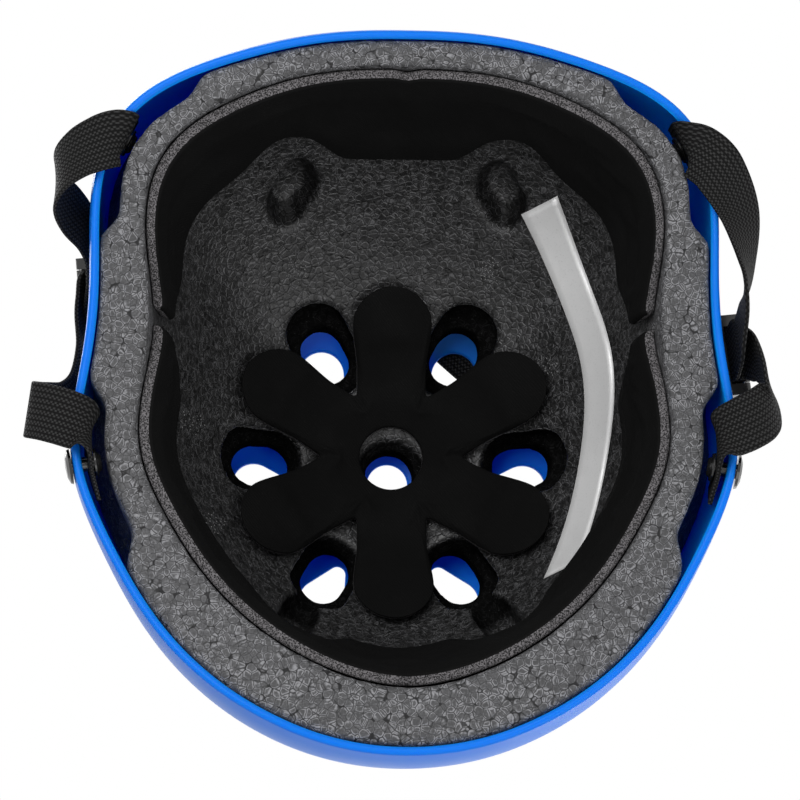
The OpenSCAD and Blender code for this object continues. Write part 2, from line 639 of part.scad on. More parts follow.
module pad_hook_patches() {
    color([0.16, 0.16, 0.17]) {
        for (t = [-90, 90]) wall_patch(t - tab_patch[0], t + tab_patch[0], tab_patch[1], tab_patch[2]);
        for (side = [-1, 1], g = SIDE_PATCHES) {
            t = turn(side, g);
            wall_patch(t - side_patch[0], t + side_patch[0], side_patch[1], side_patch[2]);
        }
        for (a = [30:60:330])
            roof_patch(petal_patch_at * cos(a), crown_y - pad_shift + petal_patch_at * sin(a), petal_patch);
    }
}

module rivets() {
    color([0.05, 0.05, 0.06]) for (a = ANCHORS) in_frame(anchor_frame(a)) rotate_extrude() {
        polygon([[0, -clinch_w - 1.2], [rivet_r + 0.3, -clinch_w - 1.2], [rivet_r + 1.1, -clinch_w],
            [rivet_r, -clinch_w], [rivet_r, shell_t + 0.3], [cap_r, shell_t + 0.3], [cap_r - 0.4, shell_t + 1.2],
            [cap_r * 0.6, shell_t + cap_h], [0, shell_t + cap_h + 0.3]]);
    }
}

module ring_washers() {
    color([0.06, 0.06, 0.07]) for (a = ANCHORS) in_frame(anchor_frame(a)) rotate_extrude()
        polygon([[rivet_r + rivet_gap, -washer_w - washer_t], [washer_r - 0.5, -washer_w - washer_t],
            [washer_r, -washer_w - washer_t / 2], [washer_r, -washer_w], [rivet_r + rivet_gap, -washer_w]]);
}

module anchor_hole(side, g) {
    in_frame(anchor_frame([side, g])) translate([0, 0, -12]) cylinder(r = rivet_r + rivet_gap, h = 12);
}

module strap_front_left() {
    color([0.08, 0.08, 0.09]) difference() {
        ribbon(concat(front_rise(-1), stations(-1, FRONT_LEFT_LOOP), divider_run(divider_frame(-1), div_low_web),
            [for (p = CHIN_LEFT) dome_station(-1, p)],
            [frame_station(BUCKLE, back_bar - 12, 1.2), frame_station(BUCKLE, back_bar - 4, 2.2)],
            bar_turn(back_bar, buckle_mid, [-90, -45, 0, 45, 90]),
            [frame_station(BUCKLE, back_bar - 4, 6.2, 205), frame_station(BUCKLE, back_bar - 8, 4.3, 200),
                frame_station(BUCKLE, back_bar - 12, 3.2, 185)]), web_w, web_t);
        anchor_hole(-1, -front_anchor);
    }
}

module strap_rear_left() {
    color([0.08, 0.08, 0.09]) difference() {
        ribbon(concat(rear_rise(-1), stations(-1, REAR_LEFT_LOOP), divider_run(divider_frame(-1), div_high_web, [run_last])),
            web_w, web_t);
        anchor_hole(-1, rear_anchor);
    }
}

module strap_front_right() {
    color([0.08, 0.08, 0.09]) difference() {
        ribbon(concat(front_rise(1), stations(1, FRONT_RIGHT_LOOP), divider_run(divider_frame(1), div_low_web),
            [for (p = CHIN_RIGHT) dome_station(1, p)],
            [frame_station(BUCKLE, plug_end + 4, 0), frame_station(BUCKLE, end_bar + 1.5, 0.85),
                frame_station(BUCKLE, slot_b, 1.3, -5)],
            bar_turn(mid_bar + bar_d / 2, ladder_mid, [-100, -140, -174])), web_w, web_t);
        anchor_hole(1, -front_anchor);
    }
}

module strap_rear_right() {
    color([0.08, 0.08, 0.09]) difference() {
        ribbon(concat(rear_rise(1), stations(1, REAR_RIGHT_LOOP), divider_run(divider_frame(1), div_high_web, [run_last])),
            web_w, web_t);
        anchor_hole(1, rear_anchor);
    }
}

module strap_tail() {
    color([0.08, 0.08, 0.09]) ribbon(concat(
        bar_turn(mid_bar + bar_d / 2, ladder_mid, [-188, -225, -270, -315, -360]),
        [frame_station(BUCKLE, slot_b + 2.4, 3.2, -225), frame_station(BUCKLE, end_bar + 1.5, 2.85, -182),
            frame_station(BUCKLE, plug_end + 0.5, 2.4, -180),
            frame_station(BUCKLE, plug_end + 4, 2.7, -180)],
        [for (p = TAIL) let (f = roof_frame(OUTER, p[0], p[1], 40)) [f[0] + p[2] * f[3], f[3]]]), web_w, web_t);
}

module divider_base(side) {
    axis = div_hinge;
    color([0.07, 0.07, 0.08]) in_frame(divider_frame(side)) difference() {
        union() {
            difference() {
                round_plate(div_l, div_w, 3, div_base_t);
                translate([1, 0, -1]) round_plate(div_l - 12, div_w - 12, 2, div_base_t + 2);
            }
            for (s = [-1, 1]) {
                translate([-div_l / 2 + 1, s > 0 ? div_inner : -div_w / 2, 0])
                    cube([div_l - 4, div_w / 2 - div_inner, div_rail]);
                translate([axis[0] - knuckle_r, s > 0 ? div_inner : -div_w / 2, 0])
                    cube([2 * knuckle_r, div_w / 2 - div_inner, axis[2]]);
                translate([axis[0], s > 0 ? div_inner : -div_w / 2, axis[2]]) rotate([-90, 0, 0])
                    cylinder(r = knuckle_r, h = div_w / 2 - div_inner);
            }
        }
        translate([axis[0], -div_w, axis[2]]) rotate([-90, 0, 0]) cylinder(r = div_pin_r + pin_gap, h = 2 * div_w);
    }
}

module divider_cover(side) {
    axis = div_hinge;
    low = div_rail + div_play;
    neck = div_inner - 0.3;
    front = axis[0] + knuckle_r + 0.5;
    color([0.07, 0.07, 0.08]) in_frame(divider_frame(side)) difference() {
        union() {
            difference() {
                translate([(front + div_l / 2) / 2, 0, low])
                    round_plate(div_l / 2 - front, div_w - 1, 3, div_cover_t);
                translate([(front + div_l / 2) / 2, 0, low - 1])
                    round_plate(div_l / 2 - front - 9, div_w - 12, 2, div_cover_t + 2);
            }
            translate([axis[0], -neck, low]) cube([knuckle_r + 3, 2 * neck, div_cover_t]);
            translate([axis[0], -neck, axis[2]]) rotate([-90, 0, 0]) cylinder(r = knuckle_r, h = 2 * neck);
        }
        translate([axis[0], -div_w, axis[2]]) rotate([-90, 0, 0]) cylinder(r = div_pin_r + pin_gap, h = 2 * div_w);
    }
}

module divider_pins() {
    color([0.6, 0.6, 0.62]) for (side = [-1, 1]) in_frame(divider_frame(side))
        translate([div_hinge[0], -div_w / 2 + 0.4, div_hinge[2]]) rotate([-90, 0, 0])
            cylinder(r = div_pin_r, h = div_w - 0.8);
}

module buckle_bar(u, w) {
    translate([u, -web_half - 1, w]) rotate([-90, 0, 0]) cylinder(d = bar_d, h = 2 * web_half + 2);
}

module buckle_socket() {
    length = socket_l + 2 + slot_l + bar_d + 0.4;
    color([0.05, 0.05, 0.06]) in_frame(BUCKLE) {
        difference() {
            translate([-length / 2, 0, buckle_seat]) round_plate(length, buckle_w, 4, buckle_t);
            translate([1 - socket_l, -cavity_half, wall_low]) cube([socket_l, 2 * cavity_half, wall_high - wall_low]);
            translate([latch_u + buckle_gap - 10.5, -buckle_w, wall_low])
                cube([10.5, 2 * buckle_w, wall_high - wall_low]);
            translate([-length - 1, -web_half, 0]) cube([length + 1 + back_slot + slot_l, 2 * web_half, 20]);
            translate([-6, 0, wall_high - 1]) cylinder(r = 5, h = 5);
        }
        buckle_bar(back_bar, buckle_mid);
    }
}

module buckle_plug() {
    color([0.05, 0.05, 0.06]) in_frame(BUCKLE) {
        difference() {
            union() {
                translate([plug_start, -buckle_w / 2 + 1, arm_low])
                    cube([plug_block, buckle_w - 2, arm_high - arm_low]);
                translate([(plug_start + plug_end) / 2, 0, arm_low])
                    round_plate(plug_end - plug_start, buckle_w - 2, 2, ladder_high - arm_low);
                translate([-22, -1.6, arm_low]) cube([22 + plug_start, 3.2, arm_high - arm_low]);
            }
            translate([slot_a, -web_half, 0]) cube([end_bar - slot_a, 2 * web_half, 20]);
            translate([slot_b, -web_half, 0]) cube([20, 2 * web_half, arm_low + 1.5]);
            for (s = [-1, 1]) {
                translate([pivot_u, s * pivot_v, 0]) cylinder(r = arm_t / 2 + 0.3, h = 20);
                translate([plug_start - 1, s * pivot_v - arm_t / 2 - 0.6, 0])
                    cube([1 + arm_t / 2, arm_t + 1.2, 20]);
            }
        }
        buckle_bar(mid_bar + bar_d / 2, ladder_mid);
    }
}

module release_arm(s) {
    outer = pivot_v + arm_t / 2;
    inner = pivot_v - arm_t / 2;
    tip = latch_u - 9;
    color([0.05, 0.05, 0.06]) in_frame(BUCKLE) translate([0, 0, arm_low]) {
        translate([pivot_u, s * pivot_v, 0]) cylinder(r = arm_t / 2, h = arm_high - arm_low);
        linear_extrude(arm_high - arm_low) mirror([0, s > 0 ? 0 : 1])
            polygon([[pivot_u, inner], [pivot_u, outer], [latch_u, outer], [latch_u, buckle_w / 2 - 0.8],
                [latch_u - 3, buckle_w / 2 - 0.8], [tip, outer + 0.6], [tip, inner + 1], [tip + 2, inner]]);
    }
}

module release_arm_upper() { release_arm(1); }
module release_arm_lower() { release_arm(-1); }
module divider_base_left() { divider_base(-1); }
module divider_base_right() { divider_base(1); }
module divider_cover_left() { divider_cover(-1); }
module divider_cover_right() { divider_cover(1); }

outer_shell();
foam_liner();
front_pad();
rear_pad();
crown_pad();
pad_hook_patches();
rivets();
ring_washers();
strap_front_left();
strap_front_right();
strap_rear_left();
strap_rear_right();
strap_tail();
divider_base_left();
divider_base_right();
divider_cover_left();
divider_cover_right();
divider_pins();
buckle_socket();
buckle_plug();
release_arm_upper();
release_arm_lower();
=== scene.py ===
"""Looks of an open sport helmet, built around its packed construction model.

Sizes and places are in millimetres, as in the construction model, and become metres
when a mesh is made. Angles are in degrees, and a turn runs from +X towards +Y.
"""

import logging
import math
from dataclasses import dataclass, field, replace
from enum import Enum
from typing import Sequence

import bmesh
import bpy
import numpy as np
from mathutils import Matrix, Vector, noise


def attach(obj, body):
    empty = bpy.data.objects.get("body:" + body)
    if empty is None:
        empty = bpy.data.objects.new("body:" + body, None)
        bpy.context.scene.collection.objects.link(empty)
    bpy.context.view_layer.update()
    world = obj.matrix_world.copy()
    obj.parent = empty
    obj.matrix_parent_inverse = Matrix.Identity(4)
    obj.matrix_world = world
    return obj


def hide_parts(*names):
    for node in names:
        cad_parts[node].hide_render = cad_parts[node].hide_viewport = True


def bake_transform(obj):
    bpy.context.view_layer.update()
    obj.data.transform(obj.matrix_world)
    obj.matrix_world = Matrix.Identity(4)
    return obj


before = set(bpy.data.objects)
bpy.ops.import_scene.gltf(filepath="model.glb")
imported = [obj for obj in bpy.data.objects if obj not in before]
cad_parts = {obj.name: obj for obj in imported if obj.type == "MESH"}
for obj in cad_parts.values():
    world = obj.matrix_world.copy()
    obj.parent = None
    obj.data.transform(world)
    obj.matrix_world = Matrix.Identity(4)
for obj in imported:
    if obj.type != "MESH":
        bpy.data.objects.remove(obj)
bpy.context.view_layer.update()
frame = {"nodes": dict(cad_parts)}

MM = 0.001
log = logging.getLogger("helmet")

Points = np.ndarray
Places = tuple[tuple[float, ...], ...]
Colour = tuple[float, float, float, float]
Piece = bpy.types.Object
Material = bpy.types.Material
Node = bpy.types.Node
Socket = bpy.types.NodeSocket


class Side(Enum):
    """Side of the helmet, as the sign of X."""

    LEFT = -1
    RIGHT = 1


class Slot(Enum):
    """Material slot names of the record."""

    SHELL = "shell_plastic"
    FOAM = "foam"
    PAD = "pad_fabric"
    TAPE = "hook_tape"
    WEBBING = "webbing"


def bell(x: Points, at: float, spread: float) -> Points:
    """Bell curve of height 1."""
    return np.exp(-(((x - at) / spread) ** 2))


def smooth(x: Points) -> Points:
    """Smooth step from 0 to 1."""
    c = np.clip(x, 0, 1)
    return c * c * (3 - 2 * c)


def unit(v: Points) -> Points:
    """Vectors of length 1."""
    return v / np.linalg.norm(v, axis=-1, keepdims=True)


def lean(t: Points) -> Points:
    """Angle from the side of a turn in radians, negative towards the brow."""
    return np.degrees(np.arctan2(np.sin(t), np.abs(np.cos(t))))


def turn(side: Side, g: float) -> float:
    """Turn in radians of a place at an angle from the side."""
    return math.radians(g if side is Side.RIGHT else 180 - g)


@dataclass(frozen=True)
class Dome:
    """Domed surface of the shell, the liner or the cavity.

    Args:
        half_w: half width at mid length.
        brow: reach to the brow.
        nape: reach to the nape.
        corner: extra fullness of the front corners.
        ear: extra fullness behind each ear.
        height: height of the crown.
        belt: height of the widest belt.
        power: roundness of the profile.
        brow_power: squareness of the plan at the brow.
        nape_power: squareness of the plan at the nape.
        corner_at: angle of the front corners, from the side towards the brow.
        corner_w: how many degrees a front corner spreads.
        ear_at: angle of the fullness behind the ear, from the side towards the nape.
        ear_w: how many degrees that fullness spreads.
        tuck: share by which the plan draws in from the belt to the ground.
        crown_y: place of the crown along Y.
    """

    half_w: float
    brow: float
    nape: float
    corner: float
    ear: float
    height: float
    belt: float
    power: float
    brow_power: float
    nape_power: float
    corner_at: float = 42
    corner_w: float = 16.5
    ear_at: float = 10.5
    ear_w: float = 15.4
    tuck: float = 0.034
    crown_y: float = 12

    def inset(self, d: float) -> "Dome":
        """The same dome, drawn in by a wall's thickness."""
        return replace(self, half_w=self.half_w - d, brow=self.brow - d, nape=self.nape - d,
                       height=self.height - d)

    def plan(self, t: Points, d: Points = 0.0) -> Points:
        """Reach of the plan at a turn in radians, drawn in by d.

        Args:
            t: turns in radians.
            d: how far the dome is drawn in.

        Returns:
            Distances from the middle of the plan.
        """
        c, q, g = np.abs(np.cos(t)), np.abs(np.sin(t)), lean(t)
        reach = np.where(np.sin(t) < 0, self.brow, self.nape) - d
        n = self.brow_power + (self.nape_power - self.brow_power) * (0.5 + 0.5 * np.sin(t))
        r = ((c / (self.half_w - d)) ** n + (q / reach) ** n) ** (-1 / n)
        corners = self.corner * bell(g, -self.corner_at, self.corner_w)
        return r + corners + self.ear * bell(g, self.ear_at, self.ear_w)

    def share(self, z: Points, d: Points = 0.0) -> Points:
        """Share of the plan that is left at a height.

        Args:
            z: heights.
            d: how far the dome is drawn in.

        Returns:
            Shares between 0 and 1.
        """
        below = 1 - self.tuck * (np.clip(self.belt - z, 0, None) / max(self.belt, 1)) ** 2
        rise = np.clip((z - self.belt) / (self.height - d - self.belt), 0, 1)
        return np.where(z < self.belt, below, (1 - rise**self.power) ** (1 / self.power))

    def point(self, t: Points, z: Points, out: Points = 0.0, d: Points = 0.0) -> Points:
        """Points at turns in radians and heights.

        Args:
            t: turns.
            z: heights.
            out: distance outwards in plan.
            d: how far the dome is drawn in.

        Returns:
            An array with the coordinates last.
        """
        share = self.share(z, d)
        r = self.plan(t, d) * share + out
        parts = np.broadcast_arrays(r * np.cos(t), self.crown_y * (1 - share) + r * np.sin(t), z)
        return np.stack(parts, -1).astype(float)

    def roof(self, x: Points, y: Points, d: Points = 0.0) -> Points:
        """Height of the dome over plan places above the belt.

        Args:
            x: places along X.
            y: places along Y.
            d: how far the dome is drawn in.

        Returns:
            Heights.
        """
        share = np.full(np.shape(x), 0.5)
        for _ in range(14):
            q = y - self.crown_y * (1 - share)
            share = np.clip(np.hypot(x, q) / self.plan(np.arctan2(q, x), d), 0, 1)
        return self.belt + (self.height - d - self.belt) * (1 - share**self.power) ** (1 / self.power)

    def on_roof(self, x: Points, y: Points, d: Points = 0.0) -> Points:
        """Points of the dome over plan places."""
        return np.stack(np.broadcast_arrays(x, y, self.roof(x, y, d)), -1).astype(float)

    def axes(self, t: float, z: float) -> Points:
        """Along the turn, up the wall and outwards at one place, as rows.

        Args:
            t: turn in radians.
            z: height.

        Returns:
            Three vectors of length 1.
        """
        step = math.radians(0.5)
        along = unit(self.point(t + step, z) - self.point(t - step, z))
        up = unit(self.point(t, z + 0.5) - self.point(t, z - 0.5))
        out = unit(np.cross(along, up))
        return np.array([along, np.cross(out, along), out])


OUTER = Dome(half_w=107, brow=125, nape=125, corner=13, ear=5.8, height=142, belt=24, power=2.15,
             brow_power=2.6, nape_power=2.07)
CAVITY = Dome(half_w=86.7, brow=109, nape=99.5, corner=12, ear=4.3, height=117, belt=0, power=2.05,
              brow_power=2.73, nape_power=1.85)
ARCH_H = 13
ARCH_START = 0.35
ARCH_POWER = 1.5
SHELL_T = 3.0
LINER_GAP = 0.6
LINER_UP = 1.5
PAD_BACK = 2.1
ANCHOR_Z = 18.0
FRONT_ANCHOR = 41.3
REAR_ANCHOR = 13.0
WEB_IN = 2.85
DIVIDERS = {Side.RIGHT: (-8.5, 46, 90), Side.LEFT: (-24, 74, 78)}
DIVIDER_GAP = 0.7
BUCKLE_PLACE = (-38, -71)
BUCKLE_ANGLE = 5
BUCKLE_TOUCH = 9
BUCKLE_BAR_R = 1.6
BUCKLE_GAP = 0.35
WEBBING_T = 1.5


def rim_z(t: Points) -> Points:
    """Height of the rim, which arches over each ear."""
    return ARCH_H * np.clip((np.abs(np.cos(t)) - ARCH_START) / (1 - ARCH_START), 0, None) ** ARCH_POWER


@dataclass(frozen=True)
class Frame:
    """A place with three axes: u, v and the outward w."""

    origin: Points
    u: Points
    v: Points
    w: Points

    def at(self, u: float, v: float, w: float) -> Points:
        """Point at coordinates of this frame."""
        return self.origin + u * self.u + v * self.v + w * self.w

    def slid(self, u: float) -> "Frame":
        """The same frame, moved along u."""
        return replace(self, origin=self.at(u, 0, 0))


def roof_frame(dome: Dome, x: float, y: float, angle: float) -> Frame:
    """Frame on a dome over a plan place, with u nearest to a plan angle.

    Args:
        dome: the surface.
        x: place along X.
        y: place along Y.
        angle: plan angle of u in degrees.

    Returns:
        The frame, with w outwards.
    """
    a = dome.on_roof(x + 0.5, y) - dome.on_roof(x - 0.5, y)
    b = dome.on_roof(x, y + 0.5) - dome.on_roof(x, y - 0.5)
    w = unit(np.cross(a, b))
    along = unit(a * math.cos(math.radians(angle)) + b * math.sin(math.radians(angle)))
    v = np.cross(w, along)
    return Frame(dome.on_roof(x, y), np.cross(v, w), v, w)


def wall_frame(side: Side, g: float, z: float, inward: float = 0.0) -> Frame:
    """Frame on the outer wall at an angle from the side.

    Args:
        side: side of the helmet.
        g: angle from the side.
        z: height.
        inward: depth under the surface.

    Returns:
        The frame, with u along the wall and v up it.
    """
    t = turn(side, g)
    a = OUTER.axes(t, z)
    return Frame(OUTER.point(t, z) - inward * a[2], a[0], a[1], a[2])


def divider_frame(side: Side) -> Frame:
    """Frame of a strap divider, with u along the chin strap.

    Args:
        side: side of the helmet.

    Returns:
        The frame.
    """
    g, z, slope = DIVIDERS[side]
    t = turn(side, g)
    a = OUTER.axes(t, z)
    angle = math.radians(180 - slope if side is Side.RIGHT else slope)
    u = math.cos(angle) * a[0] + math.sin(angle) * a[1]
    v = math.cos(angle) * a[1] - math.sin(angle) * a[0]
    return Frame(OUTER.point(t, z) + DIVIDER_GAP * a[2], u, v, a[2])


BUCKLE = roof_frame(OUTER, *BUCKLE_PLACE, BUCKLE_ANGLE).slid(BUCKLE_TOUCH)


def mesh_object(name: str, points: Points, faces: Sequence[Sequence[int]],
                closed: bool = True) -> Piece:
    """Smooth-shaded object from points in millimetres.

    Args:
        name: name of the piece.
        points: an array of points.
        faces: lists of point numbers.
        closed: whether the faces bound a solid, whose normals are then turned outwards.

    Returns:
        The new object, linked to the scene.
    """
    mesh = bpy.data.meshes.new(name)
    mesh.from_pydata((np.asarray(points, float) * MM).tolist(), [], [list(f) for f in faces])
    if closed:
        work = bmesh.new()
        work.from_mesh(mesh)
        bmesh.ops.recalc_face_normals(work, faces=work.faces)
        work.to_mesh(mesh)
        work.free()
    mesh.shade_smooth()
    obj = bpy.data.objects.new(name, mesh)
    bpy.context.scene.collection.objects.link(obj)
    return obj


def reach_along(line: Points) -> Points:
    """Distance from a line's start to each of its points."""
    return np.concatenate([[0], np.cumsum(np.linalg.norm(np.diff(line, axis=0), axis=1))])


def grid_faces(rows: int, columns: int, wrap: bool, tube: bool = False) -> list[list[int]]:
    """Quads over a grid of points, row by row.

    Args:
        rows: number of rows.
        columns: points in each row.
        wrap: whether each row is closed.
        tube: whether the last row joins the first.

    Returns:
        Lists of point numbers.
    """
    faces = []
    for i in range(rows if tube else rows - 1):
        low, high = i * columns, (i + 1) % rows * columns
        for j in range(columns if wrap else columns - 1):
            k = (j + 1) % columns
            faces.append([low + j, low + k, high + k, high + j])
    return faces


def sheet_faces(rows: int, columns: int, start: int = 0) -> list[list[int]]:
    """Faces of a closed sheet between two grids of points, one after the other.

    Args:
        rows: number of rows in each grid.
        columns: points in each row.
        start: number of the first point.

    Returns:
        Lists of point numbers.
    """
    count = rows * columns
    faces = grid_faces(rows, columns, False)
    faces += [[count + v for v in f[::-1]] for f in faces]
    border = [*range(columns), *range(2 * columns - 1, count, columns)]
    border += [*range(count - 2, count - columns - 1, -1), *range(count - 2 * columns, 0, -columns)]
    faces += [[a, b, b + count, a + count] for a, b in zip(border, border[1:] + border[:1])]
    return [[start + v for v in f] for f in faces]


def loft(name: str, rings: Sequence[Points], start: Points, end: Points) -> Piece:
    """Solid through closed rings of as many points each, with a point at each end.

    Args:
        name: name of the piece.
        rings: rings of points, from the start to the end.
        start: point that closes the first ring.
        end: point that closes the last ring.

    Returns:
        The solid.
    """
    n, m = len(rings[0]), len(rings)
    points = np.concatenate([*rings, [start], [end]])
    faces = grid_faces(m, n, True)
    faces += [[(j + 1) % n, j, n * m] for j in range(n)]
    faces += [[(m - 1) * n + j, (m - 1) * n + (j + 1) % n, n * m + 1] for j in range(n)]
    return mesh_object(name, points, faces)


def places_of(obj: Piece) -> Points:
    """Places of an object's points in metres, one a row."""
    places = np.zeros(len(obj.data.vertices) * 3)
    obj.data.vertices.foreach_get("co", places)
    return places.reshape(-1, 3)


def settle(obj: Piece) -> Piece:
    """Applies an object's modifiers to its mesh.

    Args:
        obj: object whose modifiers are applied.

    Returns:
        The same object.
    """
    bpy.context.view_layer.update()
    graph = bpy.context.evaluated_depsgraph_get()
    mesh = bpy.data.meshes.new_from_object(obj.evaluated_get(graph), preserve_all_data_layers=True,
                                           depsgraph=graph)
    old = obj.data
    obj.modifiers.clear()
    obj.data = mesh
    bpy.data.meshes.remove(old)
    mesh.name = obj.name
    return obj


def cut(body: Piece, cutters: Sequence[Piece]) -> Piece:
    """Takes each cutter away from a body and deletes the cutters.

    Args:
        body: body that is cut.
        cutters: closed objects, which are used up.

    Returns:
        The body.
    """
    for cutter in cutters:
        modifier = body.modifiers.new("Cut", "BOOLEAN")
        modifier.operation = "DIFFERENCE"
        modifier.solver = "MANIFOLD"
        modifier.object = cutter
    settle(body)
    for cutter in cutters:
        bpy.data.objects.remove(cutter)
    return body


def dress(obj: Piece, *materials: Material) -> None:
    """Gives an object its materials, one a slot.

    Args:
        obj: the piece.
        materials: its finishes in order.
    """
    obj.data.materials.clear()
    for material in materials:
        obj.data.materials.append(material)


def dress_node(name: str, material: Material) -> None:
    """Gives a carried-over CAD node its finish."""
    for slot in frame["nodes"][name].material_slots:
        slot.material = material


@dataclass(frozen=True)
class Hole:
    """Drop-shaped or slotted hole: two round ends along a frame's u, joined by straight sides.

    Args:
        frame: where the hole is, with w along it.
        near: place of the small end's middle along u.
        far: place of the large end's middle along u.
        small: radius of the small end.
        large: radius of the large end.
        least: least distance between the two middles, which also a round hole gets.
    """

    frame: Frame
    near: float
    far: float
    small: float
    large: float
    least: float = 0.02

    def line(self, grow: float = 0.0, count: int = 96) -> Points:
        """Evenly spaced points of the outline in the frame's plane, grown by a width.

        Args:
            grow: width by which the outline grows.
            count: number of points.

        Returns:
            The points, closed in a ring.
        """
        gap, small, large = max(self.far - self.near, self.least), self.small + grow, self.large + grow
        b = math.asin((large - small) / gap)
        side = math.sqrt(gap**2 - (large - small) ** 2)
        far_edge = np.array([self.far - large * math.sin(b), large * math.cos(b)])
        near_edge = np.array([self.near - small * math.sin(b), small * math.cos(b)])
        first, third = large * (math.pi + 2 * b), small * (math.pi - 2 * b)
        points = []
        for s in np.arange(count) / count * (first + third + 2 * side):
            if s < first:
                a = s / large - math.pi / 2 - b
                point = (self.far + large * math.cos(a), large * math.sin(a))
            elif s < first + side:
                point = far_edge + (near_edge - far_edge) * (s - first) / side
            elif s < first + side + third:
                a = math.pi / 2 + b + (s - first - side) / small
                point = (self.near + small * math.cos(a), small * math.sin(a))
            else:
                point = (near_edge + (far_edge - near_edge) * (s - first - side - third) / side) * (1, -1)
            points.append(point)
        line = np.array(points)
        return self.frame.origin + line[:, :1] * self.frame.u + line[:, 1:] * self.frame.v


def slotted(f: Frame, length: float, width: float) -> Hole:
    """Slot with two like ends, or a round hole where both sizes are the same."""
    return Hole(f, -(length - width) / 2, (length - width) / 2, width / 2, width / 2)


def feed(tree: bpy.types.NodeTree, socket: Socket, value: object) -> None:
    """Links a node's input to another node's output, or sets its value.

    Args:
        tree: tree of both nodes.
        socket: the input.
        value: the output or the value.
    """
    if isinstance(value, Socket):
        tree.links.new(value, socket)
    else:
        socket.default_value = value


class Nodes:
    """Short hand for building a material's node tree."""

    def __init__(self, name: str) -> None:
        """Makes a material with a Principled shader.

        Args:
            name: name of the material.
        """
        self.material = bpy.data.materials.new(name)
        self.material.use_nodes = True
        self.tree = self.material.node_tree
        self.shader = self.tree.nodes["Principled BSDF"]
        self.place = self.add("ShaderNodeTexCoord").outputs["Object"]

    def add(self, kind: str, **values: object) -> Node:
        """Adds a node.

        Args:
            kind: type of the node.
            values: properties by name, or sockets by in_ and their number or name.

        Returns:
            The new node.
        """
        node = self.tree.nodes.new(kind)
        for key, value in values.items():
            if not key.startswith("in_"):
                setattr(node, key, value)
        for key, value in values.items():
            if key.startswith("in_"):
                label = key[3:]
                label = int(label) if label.isdigit() else label.replace("_", " ")
                feed(self.tree, node.inputs[label], value)
        return node

    def math(self, operation: str, a: object, b: object = 0.0, c: object = 0.0) -> Socket:
        """Result of a Math node."""
        return self.add("ShaderNodeMath", operation=operation, in_0=a, in_1=b, in_2=c).outputs[0]

    def ramp(self, value: object, low: float, high: float, to_low: float = 0.0,
             to_high: float = 1.0) -> Socket:
        """Smooth, clamped change of a value from one range to another.

        Args:
            value: value or socket.
            low: start of the range.
            high: end of the range.
            to_low: result at the start.
            to_high: result at the end.

        Returns:
            The result.
        """
        node = self.add("ShaderNodeMapRange", interpolation_type="SMOOTHSTEP",
                        in_0=value, in_1=low, in_2=high)
        node.inputs[3].default_value = to_low
        node.inputs[4].default_value = to_high
        return node.outputs[0]

    def mix(self, share: object, a: object, b: object) -> Socket:
        """Colour between two colours.

        Args:
            share: share of the second colour.
            a: first colour.
            b: second colour.

        Returns:
            The mixed colour.
        """
        node = self.add("ShaderNodeMix", data_type="RGBA")
        for socket, value in ((0, share), (6, a), (7, b)):
            feed(self.tree, node.inputs[socket], value)
        return node.outputs[2]

    def noise(self, scale: float, detail: float = 2.0, at: object = None) -> Socket:
        """Noise with a scale in 1/m."""
        place = at or self.place
        return self.add("ShaderNodeTexNoise", in_Vector=place, in_Scale=scale, in_Detail=detail).outputs[0]

    def cells(self, scale: float, feature: str = "F1", at: object = None) -> Node:
        """Voronoi cells with a scale in 1/m."""
        return self.add("ShaderNodeTexVoronoi", feature=feature, in_Vector=at or self.place, in_Scale=scale)

    def bump(self, height: object, depth: float, strength: float = 1.0,
             under: object = None) -> Socket:
        """Normal from a height between 0 and 1 with a real depth in metres.

        Args:
            height: height between 0 and 1.
            depth: what a height of 1 stands for, in metres.
            strength: strength of the relief.
            under: normal of a relief under this one.

        Returns:
            The normal.
        """
        node = self.add("ShaderNodeBump", in_Height=height, in_Distance=depth, in_Strength=strength)
        if under is not None:
            self.tree.links.new(under, node.inputs["Normal"])
        return node.outputs[0]

    def finish(self, **sockets: object) -> Material:
        """Sets or links the shader's sockets and returns the material.

        Args:
            sockets: values or sockets by the name of the shader's socket.

        Returns:
            The finished material.
        """
        for key, value in sockets.items():
            feed(self.tree, self.shader.inputs[key.replace("_", " ")], value)
        return self.material


def grey(value: float, blue: float = 0.0) -> Colour:
    """Grey colour with a slight cast of blue."""
    return (value, value, value * (1 + blue), 1.0)


@dataclass(frozen=True)
class ShellPlastic:
    """Glossy moulded plastic with a faint ripple and fine scuffs, and painted light: a brighter blue on its
    inner face near the rim.
    """

    colour: Colour = (0.005, 0.18, 0.82, 1.0)
    # Painted light: a brighter blue that stands in for light falling on the inner face near the rim.
    inner: Colour = (0.004, 0.3, 1.0, 1.0)
    roughness: float = 0.3
    cloud: float = 26
    scuff: float = 900
    scuff_rough: float = 0.16
    ripple: float = 170
    ripple_depth: float = 0.00008
    specular: float = 0.1
    glow: float = 0.3
    glow_reach: tuple[float, float, float] = (0.001, 0.004, 0.012)

    def build(self, name: str) -> Material:
        """Material of the shell.

        Args:
            name: name of the material.

        Returns:
            The material.
        """
        n = Nodes(name)
        cloud = n.noise(self.cloud, 3)
        scuffs = n.ramp(n.noise(self.scuff, 4), 0.62, 0.8)
        # The inside attribute masks the painted light, which brightens the inner face near the rim.
        inside = n.add("ShaderNodeAttribute", attribute_name="inside").outputs["Fac"]
        colour = n.mix(inside, self.colour, self.inner)
        base = n.ramp(cloud, 0.3, 0.7, self.roughness - 0.03, self.roughness + 0.05)
        rough = n.math("MULTIPLY_ADD", scuffs, self.scuff_rough, base)
        ripple = n.bump(n.noise(self.ripple, 2), self.ripple_depth, 0.35)
        return n.finish(Base_Color=colour, Roughness=rough, Normal=ripple, Specular_IOR_Level=self.specular,
                        Subsurface_Weight=self.glow, Subsurface_Radius=self.glow_reach, Subsurface_Scale=1.0)


